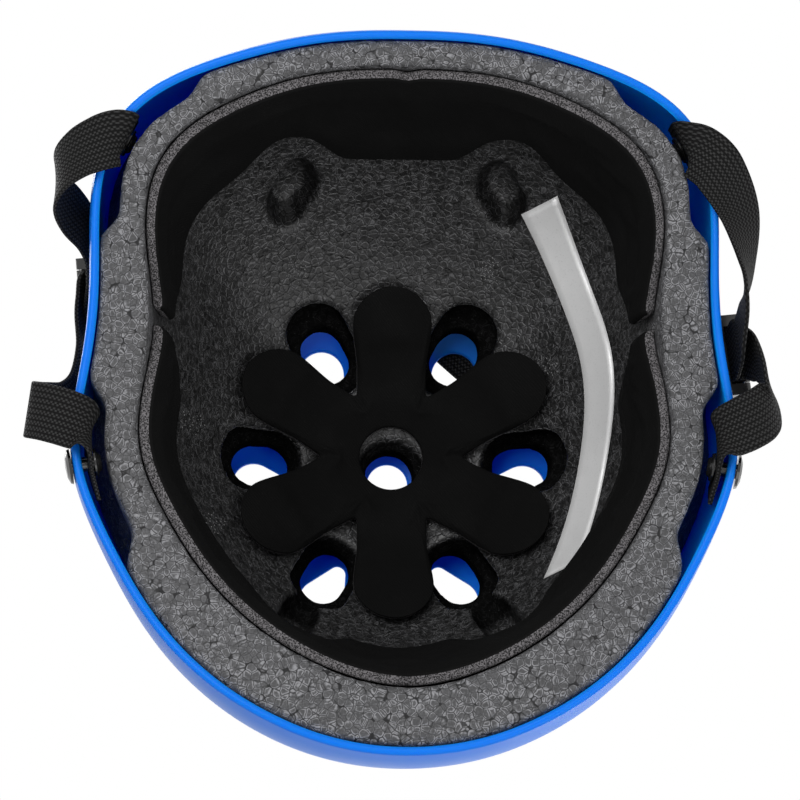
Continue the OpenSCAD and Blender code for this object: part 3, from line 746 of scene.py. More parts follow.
@dataclass(frozen=True)
class BeadFoam:
    """Moulded bead foam: round beads with pale rims and black pits between them, darker deeper in the cavity,
    partly its own tone and partly painted shade, and with painted shade in the recesses and dimples.
    """

    bead: float = 2.3
    # Rim and deep tones: the foam darkens deeper in the cavity, partly its own tone and partly painted shade.
    rim_tones: tuple[float, float] = (0.065, 0.27)
    deep_tones: tuple[float, float] = (0.008, 0.095)
    pit: float = 0.003
    deep_from: float = 12.0
    deep_to: float = 40.0
    drift: float = 420.0
    drift_reach: float = 0.0009
    patch: float = 430
    grain: float = 1300
    speck: float = 560
    relief: float = 0.00022
    grain_relief: float = 0.0001
    speculars: tuple[float, float] = (0.12, 0.42)
    roughnesses: tuple[float, float] = (0.36, 0.52)

    def build(self, name: str) -> Material:
        """Material of the liner.

        Args:
            name: name of the material.

        Returns:
            The material.
        """
        n = Nodes(name)
        drift = n.add("ShaderNodeTexNoise", in_Vector=n.place, in_Scale=self.drift).outputs[1]
        moved = n.add("ShaderNodeVectorMath", operation="MULTIPLY_ADD", in_0=drift,
                      in_1=(self.drift_reach,) * 3, in_2=n.place)
        at = moved.outputs[0]
        scale = 1000 / self.bead
        cell = n.cells(scale, "F1", at)
        edge = n.cells(scale, "DISTANCE_TO_EDGE", at).outputs["Distance"]
        tone = n.add("ShaderNodeSeparateColor", in_0=cell.outputs["Color"]).outputs[0]
        ring = n.math("MULTIPLY", n.ramp(edge, 0.03, 0.09), n.ramp(edge, 0.24, 0.12))
        broken = n.ramp(n.noise(self.patch, 2), 0.4, 0.62, 0.15, 1.0)
        corners = n.ramp(cell.outputs["Distance"], 0.76, 0.86)
        pit = n.math("MAXIMUM", corners, n.ramp(edge, 0.045, 0.0, 0.0, 0.75))
        grain = n.noise(self.grain, 4)
        shade = n.math("MULTIPLY_ADD", n.math("MULTIPLY", ring, broken), 0.62, n.math("MULTIPLY", tone, 0.09))
        shade = n.ramp(n.math("MULTIPLY_ADD", grain, 0.7, shade), 0.26, 1.15)
        rim = n.mix(shade, grey(self.rim_tones[0], 0.03), grey(self.rim_tones[1], 0.05))
        deep = n.mix(shade, grey(self.deep_tones[0]), grey(self.deep_tones[1], 0.04))
        height = n.add("ShaderNodeSeparateXYZ", in_0=n.place).outputs[2]
        low, high = self.deep_from * MM, self.deep_to * MM
        # Partly painted shade: the colour goes from the rim tones to the darker deep tones with height in the
        # cavity.
        colour = n.mix(n.ramp(height, low, high), rim, deep)
        # The recess attribute masks painted shade: vent recesses, holes and dimples darken to near black.
        recess = n.add("ShaderNodeAttribute", attribute_name="recess").outputs["Fac"]
        specks = n.ramp(n.cells(self.speck).outputs["Distance"], 0.16, 0.06, 0.0, 0.5)
        colour = n.mix(n.math("MULTIPLY", recess, 0.9), colour, n.mix(specks, grey(0.003), grey(0.06)))
        colour = n.mix(n.math("MULTIPLY", pit, 0.8), colour, grey(self.pit))
        relief = n.math("MULTIPLY_ADD", n.ramp(edge, 0.0, 0.2), 0.8, n.math("MULTIPLY", tone, 0.2))
        normal = n.bump(relief, self.relief, 0.8, n.bump(grain, self.grain_relief, 0.5))
        # Where the painted shade lies, the specular level drops too.
        lit = n.math("SUBTRACT", 1.0, recess)
        shine = n.math("MULTIPLY", n.ramp(height, low, high, *self.speculars), lit)
        rough = n.ramp(tone, 0.0, 1.0, *self.roughnesses)
        return n.finish(Base_Color=colour, Roughness=rough, Normal=normal, Specular_IOR_Level=shine)


@dataclass(frozen=True)
class KnitFabric:
    """Black brushed knit that covers the pads, in fine diagonal rows."""

    colour: float = 0.0055
    bright: float = 0.014
    pitch: float = 1.1
    slant: float = 0.6
    course: float = 0.75
    lint: float = 1900
    patch: float = 45
    fuzz: float = 2600
    relief: float = 0.0002
    roughness: float = 0.94
    specular: float = 0.05

    def build(self, name: str) -> Material:
        """Material of the pads' faces.

        Args:
            name: name of the material.

        Returns:
            The material.
        """
        n = Nodes(name)
        place = n.add("ShaderNodeUVMap").outputs[0]
        split = n.add("ShaderNodeSeparateXYZ", in_0=place)
        slant = n.math("ADD", split.outputs[0], n.math("MULTIPLY", split.outputs[1], self.slant))
        rows = n.math("SINE", n.math("MULTIPLY", slant, 2 * math.pi / self.pitch))
        turns = 2 * math.pi / (self.pitch * self.course)
        loops = n.math("SINE", n.math("MULTIPLY", split.outputs[1], turns))
        weave = n.math("MULTIPLY_ADD", n.math("MULTIPLY", rows, loops), 0.5, 0.5)
        lint = n.ramp(n.noise(self.lint, 3), 0.6, 0.78)
        patchy = n.math("MULTIPLY_ADD", n.ramp(n.noise(self.patch, 3), 0.35, 0.7), 0.7, 0.35)
        glow = n.math("MULTIPLY", n.math("MULTIPLY_ADD", weave, 0.5, lint), patchy)
        colour = n.mix(n.ramp(glow, 0.1, 1.0), grey(self.colour), grey(self.bright))
        relief = n.bump(weave, self.relief, 0.55, n.bump(n.noise(self.fuzz, 2), self.relief, 0.4))
        return n.finish(Base_Color=colour, Roughness=self.roughness, Normal=relief,
                        Specular_IOR_Level=self.specular)


@dataclass(frozen=True)
class CutFoam:
    """Cut edge of the pads' open foam: speckled grey."""

    light: float = 0.17
    dark: float = 0.015
    pore: float = 1900
    grain: float = 2300
    relief: float = 0.00025
    roughness: float = 0.95
    specular: float = 0.1

    def build(self, name: str) -> Material:
        """Material of the pads' edges.

        Args:
            name: name of the material.

        Returns:
            The material.
        """
        n = Nodes(name)
        pores = n.cells(self.pore).outputs["Distance"]
        speckle = n.math("MULTIPLY_ADD", n.noise(self.grain, 2), 0.8, n.math("MULTIPLY", pores, 0.5))
        warm = (self.light * 1.03, self.light * 0.98, self.light * 1.02, 1.0)
        colour = n.mix(n.ramp(speckle, 0.5, 0.85), grey(self.dark), warm)
        return n.finish(Base_Color=colour, Roughness=self.roughness, Specular_IOR_Level=self.specular,
                        Normal=n.bump(speckle, self.relief, 0.8))


@dataclass(frozen=True)
class WovenWebbing:
    """Black woven strap: ribs across and pairs of yarns along."""

    colour: float = 0.008
    bright: float = 0.036
    rib: float = 1.5
    yarn: float = 0.95
    fibre: tuple[float, float, float] = (2.2, 7.0, 1.0)
    relief: float = 0.0004
    fibre_relief: float = 0.0001
    specular: float = 0.12
    roughnesses: tuple[float, float] = (0.8, 0.6)

    def build(self, name: str) -> Material:
        """Material of the straps, on a map in millimetres along and across.

        Args:
            name: name of the material.

        Returns:
            The material.
        """
        n = Nodes(name)
        place = n.add("ShaderNodeUVMap").outputs[0]
        split = n.add("ShaderNodeSeparateXYZ", in_0=place)
        along, across = split.outputs[0], split.outputs[1]
        lane = n.math("PINGPONG", n.math("DIVIDE", across, self.yarn), 1.0)
        step = n.math("ROUND", n.math("FRACT", n.math("DIVIDE", across, 2 * self.yarn)))
        shift = n.math("MULTIPLY_ADD", step, 0.5, n.math("DIVIDE", along, self.rib))
        rib = n.math("PINGPONG", shift, 0.5)
        crown = n.math("MULTIPLY", n.ramp(rib, 0.0, 0.42), n.ramp(lane, 0.0, 0.5))
        drawn = n.add("ShaderNodeVectorMath", operation="MULTIPLY", in_0=place, in_1=self.fibre)
        fibre = n.noise(1.0, 3, drawn.outputs[0])
        tone = n.math("MULTIPLY", crown, n.math("MULTIPLY_ADD", fibre, 0.9, 0.25))
        colour = n.mix(n.ramp(tone, 0.1, 0.85), grey(self.colour * 0.4), grey(self.bright))
        relief = n.bump(crown, self.relief, 0.85, n.bump(fibre, self.fibre_relief, 0.5))
        return n.finish(Base_Color=colour, Roughness=n.ramp(crown, 0, 1, *self.roughnesses), Normal=relief,
                        Specular_IOR_Level=self.specular)


@dataclass(frozen=True)
class MouldedPlastic:
    """Black moulded plastic with a fine spark texture."""

    colour: float = 0.007
    roughness: float = 0.3
    texture: float = 0.00003
    cloud: float = 160
    spark: float = 2400
    coat: float = 0.15

    def build(self, name: str) -> Material:
        """Material of a moulded fitting.

        Args:
            name: name of the material.

        Returns:
            The material.
        """
        n = Nodes(name)
        cloud = n.noise(self.cloud, 4)
        spark = n.noise(self.spark, 2)
        colour = n.mix(n.ramp(cloud, 0.3, 0.7), grey(self.colour * 0.8), grey(self.colour * 1.6))
        rough = n.ramp(cloud, 0.3, 0.75, self.roughness - 0.05, self.roughness + 0.1)
        return n.finish(Base_Color=colour, Roughness=rough, Normal=n.bump(spark, self.texture, 0.5),
                        Coat_Weight=self.coat)


@dataclass(frozen=True)
class PinSteel:
    """Drawn steel wire."""

    colour: float = 0.5
    streak: float = 800
    roughnesses: tuple[float, float] = (0.22, 0.42)

    def build(self, name: str) -> Material:
        """Material of the hinge pins.

        Args:
            name: name of the material.

        Returns:
            The material.
        """
        n = Nodes(name)
        streak = n.noise(self.streak, 4)
        colour = n.mix(streak, grey(self.colour * 0.8), grey(self.colour * 1.1))
        rough = n.ramp(streak, 0.2, 0.8, *self.roughnesses)
        return n.finish(Base_Color=colour, Metallic=1.0, Roughness=rough)


@dataclass(frozen=True)
class HookTape:
    """Black hook tape with a fine raised grid."""

    colour: float = 0.02
    hook: float = 1300
    relief: float = 0.0004
    roughness: float = 0.7

    def build(self, name: str) -> Material:
        """Material of the hook patches.

        Args:
            name: name of the material.

        Returns:
            The material.
        """
        n = Nodes(name)
        hooks = n.ramp(n.cells(self.hook).outputs["Distance"], 0.1, 0.5, 1.0, 0.0)
        colour = n.mix(hooks, grey(self.colour * 0.5), grey(self.colour * 1.5))
        return n.finish(Base_Color=colour, Roughness=self.roughness, Normal=n.bump(hooks, self.relief, 0.9))


@dataclass(frozen=True)
class LabelFilm:
    """Bare silver-grey film of a stuck-on strip."""

    colour: float = 0.85
    crinkle: float = 260
    dust: float = 1300
    relief: float = 0.0001
    metal: float = 0.15

    def build(self, name: str) -> Material:
        """Material of the label strip.

        Args:
            name: name of the material.

        Returns:
            The material.
        """
        n = Nodes(name)
        crinkle = n.noise(self.crinkle, 3)
        dust = n.ramp(n.noise(self.dust, 3), 0.55, 0.8)
        colour = n.mix(n.math("MULTIPLY", dust, 0.5), grey(self.colour), grey(self.colour * 0.72))
        rough = n.ramp(crinkle, 0.3, 0.7, 0.34, 0.5)
        return n.finish(Base_Color=colour, Roughness=rough, Metallic=self.metal,
                        Normal=n.bump(crinkle, self.relief, 0.5))


def made_once(finish: object, name: str) -> Material:
    """Field for a material that is made with the finishes."""
    return field(default_factory=lambda: finish.build(name))


@dataclass
class Finishes:
    """Every material of the helmet, made once."""

    shell: Material = made_once(ShellPlastic(), "ShellBlue")
    foam: Material = made_once(BeadFoam(), "BeadFoam")
    knit: Material = made_once(KnitFabric(), "PadKnit")
    cut_foam: Material = made_once(CutFoam(), "PadCutEdge")
    webbing: Material = made_once(WovenWebbing(), "Webbing")
    rivet: Material = made_once(MouldedPlastic(colour=0.006, roughness=0.14, texture=0.00001), "RivetBlack")
    fitting: Material = made_once(MouldedPlastic(), "FittingBlack")
    pin: Material = made_once(PinSteel(), "PinSteel")
    tape: Material = made_once(HookTape(), "HookTape")
    label: Material = made_once(LabelFilm(), "LabelFilm")
    thread: Material = made_once(MouldedPlastic(colour=0.03, roughness=0.6), "Thread")
    # Pale nibs: real bumps whose light colour is a painted glint, lighter than the foam round them.
    glint_nib: Material = made_once(MouldedPlastic(colour=0.16, roughness=0.4), "FoamNib")


@dataclass
class Vents:
    """Vents through the shell and the liner: one at the crown, six in a ring and four slots at the ends."""

    crown_r: float = 7.5
    back: float = 4
    ring_back: float = 6
    near: float = 37.5
    far: float = 49.5
    small: float = 3
    large: float = 8.25
    ring: float = 48
    foam_width: float = 16
    foam_length: float = 21
    foam_open: float = 1.5
    foam_ahead: float = 1.4
    recess_length: float = 37
    recess_rim: float = 6.5
    recess_depth: float = 9
    end_width: float = 12.5
    end_length: float = 27
    end_places: Places = ((-65, 92), (63, 92))
    dimples: Places = ((37, -79.5, 52), (35, 72, 64))
    dimple_length: float = 23
    dimple_width: float = 13.5
    dimple_depth: float = 8.5
    outer_round: float = 1.3
    inner_round: float = 0.9
    flare: float = 4
    cap: float = 12
    crown_recess: float = 3.5
    crown_recess_depth: float = 2.5
    shell_heights: tuple[float, float] = (60, 160)
    foam_heights: tuple[float, float] = (60, 150)
    through_wall: tuple[float, float] = (-12, 12)

    def upright(self, y: float, angle: float = 0.0, reach: float = 0.0, z: float = 0.0) -> Frame:
        """Frame with w straight up, at a reach and plan angle from a place on the mid plane.

        Args:
            y: place on the mid plane.
            angle: plan angle of u in degrees.
            reach: distance along u.
            z: height.

        Returns:
            The frame.
        """
        a = math.radians(angle)
        u, v = np.array([math.cos(a), math.sin(a), 0]), np.array([-math.sin(a), math.cos(a), 0])
        return Frame(np.array([0, y, z]) + reach * u, u, v, np.array([0, 0, 1.0]))

    def shell_holes(self) -> list[Hole]:
        """The crown vent and the drops of the ring, which run straight up.

        Returns:
            The holes.
        """
        made = [slotted(self.upright(OUTER.crown_y + self.back), 2 * self.crown_r, 2 * self.crown_r)]
        for k in range(6):
            middle = self.upright(OUTER.crown_y + self.ring_back, 60 * k)
            made.append(Hole(middle, self.near, self.far, self.small, self.large))
        return made

    def end_holes(self) -> list[Hole]:
        """Slots over the brow and the nape, with u up the wall.

        Returns:
            The holes.
        """
        made = []
        for side in Side:
            for g, z in self.end_places:
                f = wall_frame(side, g, z)
                made.append(slotted(Frame(f.origin, f.v, -f.u, f.w), self.end_length, self.end_width))
        return made

    def pierced(self, dome: Dome, starts: Points, along: Points, low: float, high: float) -> Points:
        """Points where lines leave a dome.

        Args:
            dome: the surface.
            starts: a point of each line.
            along: direction of the lines.
            low: distance along them that is surely inside.
            high: distance that is surely outside.

        Returns:
            One point a line.
        """
        near, far = np.full(len(starts), low), np.full(len(starts), high)
        for _ in range(26):
            mid = (near + far) / 2
            p = starts + mid[:, None] * along
            inside = dome.roof(p[:, 0], p[:, 1]) > p[:, 2]
            near, far = np.where(inside, mid, near), np.where(inside, far, mid)
        return starts + near[:, None] * along

    def shell_cutter(self, hole: Hole, low: float, high: float) -> Piece:
        """Cutter whose flared ends round the edges of a vent in the shell.

        Args:
            hole: the vent.
            low: distance along it that is surely inside.
            high: distance that is surely outside.

        Returns:
            The cutter.
        """
        inner = OUTER.inset(SHELL_T)
        along = hole.frame.w
        steps = [math.radians(a) for a in (14, 32, 50, 70, 90)]
        rings = []
        for dome, radius, out in ((OUTER, self.outer_round, 1), (inner, self.inner_round, -1)):
            rows = [(radius * (1 - math.sin(steps[0])) + self.flare * math.cos(steps[0]),
                     radius * (1 - math.cos(steps[0])) - self.flare * math.sin(steps[0]))]
            rows += [(radius * (1 - math.sin(a)), radius * (1 - math.cos(a))) for a in steps]
            made = []
            for grow, depth in rows:
                made.append(self.pierced(dome, hole.line(grow), along, low, high) - out * depth * along)
            rings += made if out > 0 else made[::-1]
        reach = self.cap * along
        return loft("Cutter", rings, rings[0].mean(0) + reach, rings[-1].mean(0) - reach)

    def prism(self, hole: Hole, low: float, high: float) -> Piece:
        """Straight cutter between two distances along a hole.

        Args:
            hole: the hole.
            low: start along it.
            high: end along it.

        Returns:
            The cutter.
        """
        base, f = hole.line(count=64), hole.frame
        middle = f.origin + (hole.near + hole.far) / 2 * f.u
        ends = [low * f.w, high * f.w]
        return loft("Cutter", [base + end for end in ends], middle + ends[0], middle + ends[1])

    def bowl(self, hole: Hole) -> Piece:
        """Cutter of a dimple in the cavity's wall, with a hole's outline seen from below.

        Args:
            hole: outline of the dimple, upright.

        Returns:
            The cutter.
        """
        line, middle = hole.line(count=64), hole.frame.origin
        w = roof_frame(CAVITY, middle[0], middle[1], 0).w
        rings = []
        for share in (1.0, 0.97, 0.9, 0.78, 0.6, 0.38, 0.16):
            p = middle + share * (line - middle)
            rings.append(CAVITY.on_roof(p[:, 0], p[:, 1]) + self.dimple_depth * (1 - share**4) * w)
        start = rings[0] - self.flare * w
        top = CAVITY.on_roof(middle[0], middle[1]) + self.dimple_depth * w
        return loft("Cutter", [start, *rings], start.mean(0), top)

    def shell_cutters(self) -> list[Piece]:
        """Cutters of every vent in the shell."""
        made = [self.shell_cutter(hole, *self.shell_heights) for hole in self.shell_holes()]
        return made + [self.shell_cutter(hole, *self.through_wall) for hole in self.end_holes()]

    def foam_cutters(self) -> list[Piece]:
        """Cutters of the liner's vents, of the recesses round them and of the dimples.

        Returns:
            The cutters.
        """
        crown = self.upright(OUTER.crown_y + self.back - self.foam_ahead)
        wide = 2 * (self.crown_r + self.foam_open)
        wider = wide + 2 * self.crown_recess
        low, high = self.foam_heights
        made = [self.prism(slotted(crown, wide, wide), low, high),
                self.prism(slotted(crown, wider, wider), low, CAVITY.height + self.crown_recess_depth)]
        for k in range(6):
            straight = self.upright(OUTER.crown_y, 60 * k, self.ring)
            made.append(self.prism(slotted(straight, self.foam_length, self.foam_width), low, high))
            f = roof_frame(CAVITY, straight.origin[0], straight.origin[1], 60 * k)
            recess = slotted(f, self.recess_length, self.foam_width + self.recess_rim)
            made.append(self.prism(recess, self.through_wall[0], self.recess_depth))
        for side in Side:
            for x, y, angle in self.dimples:
                f = self.upright(0, angle if side is Side.RIGHT else 180 - angle)
                f = replace(f, origin=np.array([side.value * x, y, 0.0]))
                made.append(self.bowl(slotted(f, self.dimple_length, self.dimple_width)))
        return made


@dataclass
class Shell:
    """Moulded outer shell with a rounded rim."""

    finishes: Finishes
    vents: Vents
    columns: int = 288
    rows: int = 44
    rim_steps: int = 7
    rivet_hole: float = 5.2
    crease: float = 35
    painted_light_top: float = 60
    painted_light_fade: float = 20
    face_margin: float = 0.6
    face_fade: float = 0.5

    def ring(self, dome: Dome, k: int) -> Points:
        """Ring of the surface at a row from the rim to the crown.

        Args:
            dome: the outer or inner face.
            k: number of the row.

        Returns:
            The points.
        """
        t = np.arange(self.columns) / self.columns * 2 * math.pi
        low = rim_z(t) + SHELL_T / 2
        return dome.point(t, low + (dome.height - low) * math.sin(math.pi / 2 * k / self.rows))

    def build(self) -> Piece:
        """The shell as one piece.

        Returns:
            The shell.
        """
        inner = OUTER.inset(SHELL_T)
        t = np.arange(self.columns) / self.columns * 2 * math.pi
        half = SHELL_T / 2
        rings = [self.ring(OUTER, k) for k in range(self.rows - 1, -1, -1)]
        for i in range(1, self.rim_steps):
            a = math.pi * i / self.rim_steps
            low = rim_z(t) + half
            edge = OUTER.point(t, low, out=-half + half * math.cos(a))
            edge[:, 2] -= half * math.sin(a)
            rings.append(edge)
        rings += [self.ring(inner, k) for k in range(self.rows)]
        poles = [np.array([0, OUTER.crown_y, dome.height]) for dome in (OUTER, inner)]
        shell = loft("OuterShell", rings, *poles)
        cutters = self.vents.shell_cutters()
        for side in Side:
            for g in (-FRONT_ANCHOR, REAR_ANCHOR):
                f = wall_frame(side, g, ANCHOR_Z)
                hole = slotted(f, self.rivet_hole, self.rivet_hole)
                cutters.append(self.vents.prism(hole, *self.vents.through_wall))
        cut(shell, cutters)
        dress(shell, self.finishes.shell)
        shell.data.set_sharp_from_angle(angle=math.radians(self.crease))
        self.mark_painted_light_inside(shell)
        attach(shell, "root")
        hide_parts("outer_shell")
        return shell

    def mark_painted_light_inside(self, shell: Piece) -> None:
        """Stores how much each point belongs to the inner face near the rim, as the mask of the painted light
        there.

        Args:
            shell: the shell, which gets the attribute.
        """
        x, y, z = places_of(shell).T / MM
        share = OUTER.share(np.clip(z, 0, OUTER.height - 1))
        q = y - OUTER.crown_y * (1 - share)
        depth = OUTER.plan(np.arctan2(q, x)) * share - np.hypot(x, q)
        # The inside attribute carries where painted light brightens the inner face.
        layer = shell.data.attributes.new("inside", "FLOAT", "POINT")
        face = smooth((depth - SHELL_T + self.face_margin) / self.face_fade)
        near_rim = smooth((self.painted_light_top - z) / self.painted_light_fade)
        layer.data.foreach_set("value", (face * near_rim).astype(np.float32))


@dataclass
class Liner:
    """Bead foam liner with its chamfered rim, anchor pockets, vents and recesses."""

    finishes: Finishes
    vents: Vents
    columns: int = 240
    rows: int = 30
    chamfer: float = 0.5
    voxel: float = 1.4
    soften_steps: int = 3
    pocket_depth: float = 7.8
    pocket_mouth: float = 0.72
    mouth_fade: tuple[float, float] = (10, 4.5)
    pocket_top: tuple[float, float] = (46, 14)
    front_pocket: tuple[float, float, float] = (-58, -26, 6)
    rear_pocket: tuple[float, float, float] = (-3, 34, 7)
    # Reach and fade of the painted shade in the recesses, holes and dimples.
    recess_fade: tuple[float, float] = (0.4, 1.6)
    recess_reach: tuple[float, float, float] = (20, 4, 5)
    dimple_fade: tuple[float, float] = (0.8, 3)
    dimple_reach: tuple[float, float] = (15, 12)
    dimple_shade: float = 0.75
    beads: tuple[float, float] = (330, 0.14)
    waves: tuple[float, float] = (120, 0.12)

    def pocket(self, t: Points, z: Points) -> Points:
        """Set-back of the outer face that leaves room for the anchors.

        Args:
            t: turns in radians.
            z: heights.

        Returns:
            Depths.
        """
        g = lean(t)
        front, rear = (smooth((g - first) / fade) * smooth((last - g) / fade)
                       for first, last, fade in (self.front_pocket, self.rear_pocket))
        below, fade = self.mouth_fade
        mouth = self.pocket_mouth + (1 - self.pocket_mouth) * smooth((z - ANCHOR_Z + below) / fade)
        top, fade = self.pocket_top
        return self.pocket_depth * np.maximum(front, rear) * mouth * smooth((top - z) / fade)

    def ring(self, dome: Dome, k: int, low: float, pockets: bool) -> Points:
        """Ring of the inner or outer face at a row from the rim to the crown.

        Args:
            dome: the face.
            k: number of the row.
            low: height of the first row over the shell's rim.
            pockets: whether the anchor pockets are taken off.

        Returns:
            The points.
        """
        t = np.arange(self.columns) / self.columns * 2 * math.pi
        base = rim_z(t) + low
        z = base + (dome.height - base) * math.sin(math.pi / 2 * k / self.rows)
        return dome.point(t, z, out=-self.pocket(t, z) if pockets else 0.0)

    def build(self) -> Piece:
        """The liner as one piece.

        Returns:
            The liner.
        """
        back = OUTER.inset(SHELL_T + LINER_GAP)
        up = LINER_UP + self.chamfer
        rings = [self.ring(back, k, up, True) for k in range(self.rows - 1, -1, -1)]
        rings.append(self.ring(back.inset(self.chamfer), 0, LINER_UP, True))
        rings.append(self.ring(CAVITY.inset(-self.chamfer), 0, LINER_UP, False))
        rings += [self.ring(CAVITY, k, up, False) for k in range(self.rows)]
        poles = [np.array([0, OUTER.crown_y, dome.height]) for dome in (back, CAVITY)]
        liner = loft("FoamLiner", rings, *poles)
        cut(liner, self.vents.foam_cutters())
        remesh = liner.modifiers.new("Remesh", "REMESH")
        remesh.mode = "VOXEL"
        remesh.voxel_size = self.voxel * MM
        soften = liner.modifiers.new("Soften", "SMOOTH")
        soften.factor = 0.5
        soften.iterations = self.soften_steps
        settle(liner)
        self.mark_recess_shade(liner)
        self.roughen(liner)
        liner.data.shade_smooth()
        dress(liner, self.finishes.foam)
        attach(liner, "root")
        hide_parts("foam_liner")
        return liner

    def mark_recess_shade(self, liner: Piece) -> None:
        """Stores how deep each point lies in a vent's recess or hole or in a dimple, as the mask of painted
        shade that makes them darker than the cavity.

        Args:
            liner: the liner, which gets the attribute.
        """
        x, y, z = places_of(liner).T / MM
        from_vent = np.hypot(x, y - OUTER.crown_y - self.vents.back)
        far, fade, wider = self.recess_reach
        for k in range(6):
            place = self.vents.upright(OUTER.crown_y, 60 * k, self.vents.ring).origin
            from_vent = np.minimum(from_vent, np.hypot(x - place[0], y - place[1]) - wider)
        depth = z - CAVITY.roof(x, y)
        share = smooth((depth - self.recess_fade[0]) / self.recess_fade[1]) * smooth((far - from_vent) / fade)
        share = share * (z > self.vents.foam_heights[0])
        deep = self.dimple_shade * smooth((depth - self.dimple_fade[0]) / self.dimple_fade[1])
        near, most = self.dimple_reach
        for px, py, _ in self.vents.dimples:
            share = np.maximum(share, deep * (np.hypot(np.abs(x) - px, y - py) < near) * (depth < most))
        # The recess attribute is the mask of painted shade in the recesses, holes and dimples.
        layer = liner.data.attributes.new("recess", "FLOAT", "POINT")
        layer.data.foreach_set("value", share.astype(np.float32))

    def roughen(self, liner: Piece) -> None:
        """Presses a faint relief of the beads into the mesh.

        Args:
            liner: the liner, whose points move.
        """
        mesh, places = liner.data, places_of(liner)
        normals = np.zeros(places.size)
        mesh.vertex_normals.foreach_get("vector", normals)
        normals = normals.reshape(-1, 3)
        shift = Vector((3, 1, 2))
        (fine, low), (coarse, high) = self.beads, self.waves
        relief = [noise.noise(Vector(p) * fine) * low + noise.noise(Vector(p) * coarse + shift) * high
                  for p in places]
        mesh.vertices.foreach_set("co", (places + normals * np.array(relief)[:, None] * MM).ravel())
        mesh.update()


@dataclass
class Pad:
    """Comfort pad of laminated foam: a knit face, cut foam edges and a back on the liner."""

    name: str
    node: str
    finishes: Finishes
    thickness: float = 4.5
    swell: float = 0.7
    cap: float = 0.9
    rounding: float = 0.9
    edge_gap: float = 0.4
    settle_over: float = 11
    frames: int = 20
    pressure: float = 4.0
    stretch: float = 12
    bending: float = 0.4
    shrink: float = -0.03
    hold: float = 2.0
    free_from: float = 3.2
    free_over: float = 1.3

    def kinds(self, section: list[tuple[float, float, float]], count: int) -> list[int]:
        """Material slots of the faces round the section: 1 where foam is cut, 0 on the knit.

        Args:
            section: the section's points.
            count: faces along the pad.

        Returns:
            One number a face, row by row.
        """
        edge = [depth < self.thickness - self.rounding + 0.1 for _, _, depth in section]
        return [int(one and other) for one, other in zip(edge, edge[1:] + edge[:1]) for _ in range(count)]

    def freedom(self, share: float, depth: float) -> float:
        """How free a point of the section is, from 0 at the back to 1 on the face.

        Args:
            share: share of the way up the pad.
            depth: depth from its back.

        Returns:
            The share.
        """
        rise = smooth(np.array((depth - self.free_from) / self.free_over))
        return rise * min(1, 3 * share, 3 * (1 - share))

    def section(self, rows: int) -> list[tuple[float, float, float]]:
        """Closed section: share of the way up, millimetres inwards from that edge, depth from the back.

        Args:
            rows: steps up each face.

        Returns:
            The points of the section in order.
        """
        r, t = self.rounding, self.thickness
        cut_t = t - r
        made = [(k / rows, 0.0, 0.0) for k in range(rows + 1)]
        made += [(1.0, 0.0, cut_t * 0.5), (1.0, 0.0, cut_t)]
        angles = (math.pi / 6, math.pi / 3, math.pi / 2)
        arc = [(r * (1 - math.cos(a)), cut_t + r * math.sin(a)) for a in angles]
        made += [(1.0, -run, d) for run, d in arc]
        for k in range(rows - 1, 0, -1):
            made.append((k / rows, 0.0, t + self.swell * math.sin(math.pi * k / rows) ** 0.7))
        made += [(0.0, run, d) for run, d in arc[::-1]]
        made += [(0.0, 0.0, cut_t), (0.0, 0.0, cut_t * 0.5)]
        return made

    def inflate(self, pad: Piece, free: Points) -> None:
        """Swells the pad's face with a short cloth simulation, no further than the cap.

        Args:
            pad: the pad, whose mesh changes.
            free: how free each point is, from 0 at the back to 1 on the face.
        """
        rest = places_of(pad)
        group = pad.vertex_groups.new(name="held")
        for i, share in enumerate(free):
            group.add([i], 1.0 - float(share), "REPLACE")
        cloth = pad.modifiers.new("Cloth", "CLOTH")
        settings = cloth.settings
        settings.vertex_group_mass = "held"
        settings.pin_stiffness = self.hold
        settings.use_pressure = True
        settings.uniform_pressure_force = self.pressure
        settings.shrink_min = self.shrink
        settings.tension_stiffness = self.stretch
        settings.compression_stiffness = self.stretch
        settings.bending_stiffness = self.bending
        settings.effector_weights.gravity = 0.0
        cloth.collision_settings.use_collision = False
        cloth.point_cache.frame_start = 1
        cloth.point_cache.frame_end = self.frames
        scene = bpy.context.scene
        for step in range(1, self.frames + 1):
            scene.frame_set(step)
        settle(pad)
        scene.frame_set(1)
        moved = places_of(pad) - rest
        length = np.linalg.norm(moved, axis=1, keepdims=True)
        moved *= np.minimum(1.0, self.cap * MM / np.maximum(length, 1e-9)) * free[:, None]
        pad.data.vertices.foreach_set("co", (rest + moved).ravel())
        pad.vertex_groups.clear()

    def complete(self, points: Points, faces: list[list[int]], kinds: Sequence[int], uv: Points,
                 free: Points) -> Piece:
        """Makes the pad from its mesh.

        Args:
            points: places in millimetres.
            faces: lists of point numbers.
            kinds: material slot of each face.
            uv: map of each point in millimetres.
            free: how free each point is when the pad swells.

        Returns:
            The pad.
        """
        pad = mesh_object(self.name, points, faces, closed=False)
        dress(pad, self.finishes.knit, self.finishes.cut_foam)
        pad.data.polygons.foreach_set("material_index", np.array(kinds, np.int32))
        layer = pad.data.uv_layers.new(name="UVMap")
        corners = np.zeros(len(pad.data.loops), np.int32)
        pad.data.loops.foreach_get("vertex_index", corners)
        layer.data.foreach_set("uv", uv[corners].ravel())
        work = bmesh.new()
        work.from_mesh(pad.data)
        bmesh.ops.recalc_face_normals(work, faces=work.faces)
        work.to_mesh(pad.data)
        work.free()
        self.inflate(pad, free)
        finer = pad.modifiers.new("Subdivision", "SUBSURF")
        finer.levels = finer.render_levels = 1
        settle(pad)
        pad.data.shade_smooth()
        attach(pad, "root")
        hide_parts(self.node)
        return pad


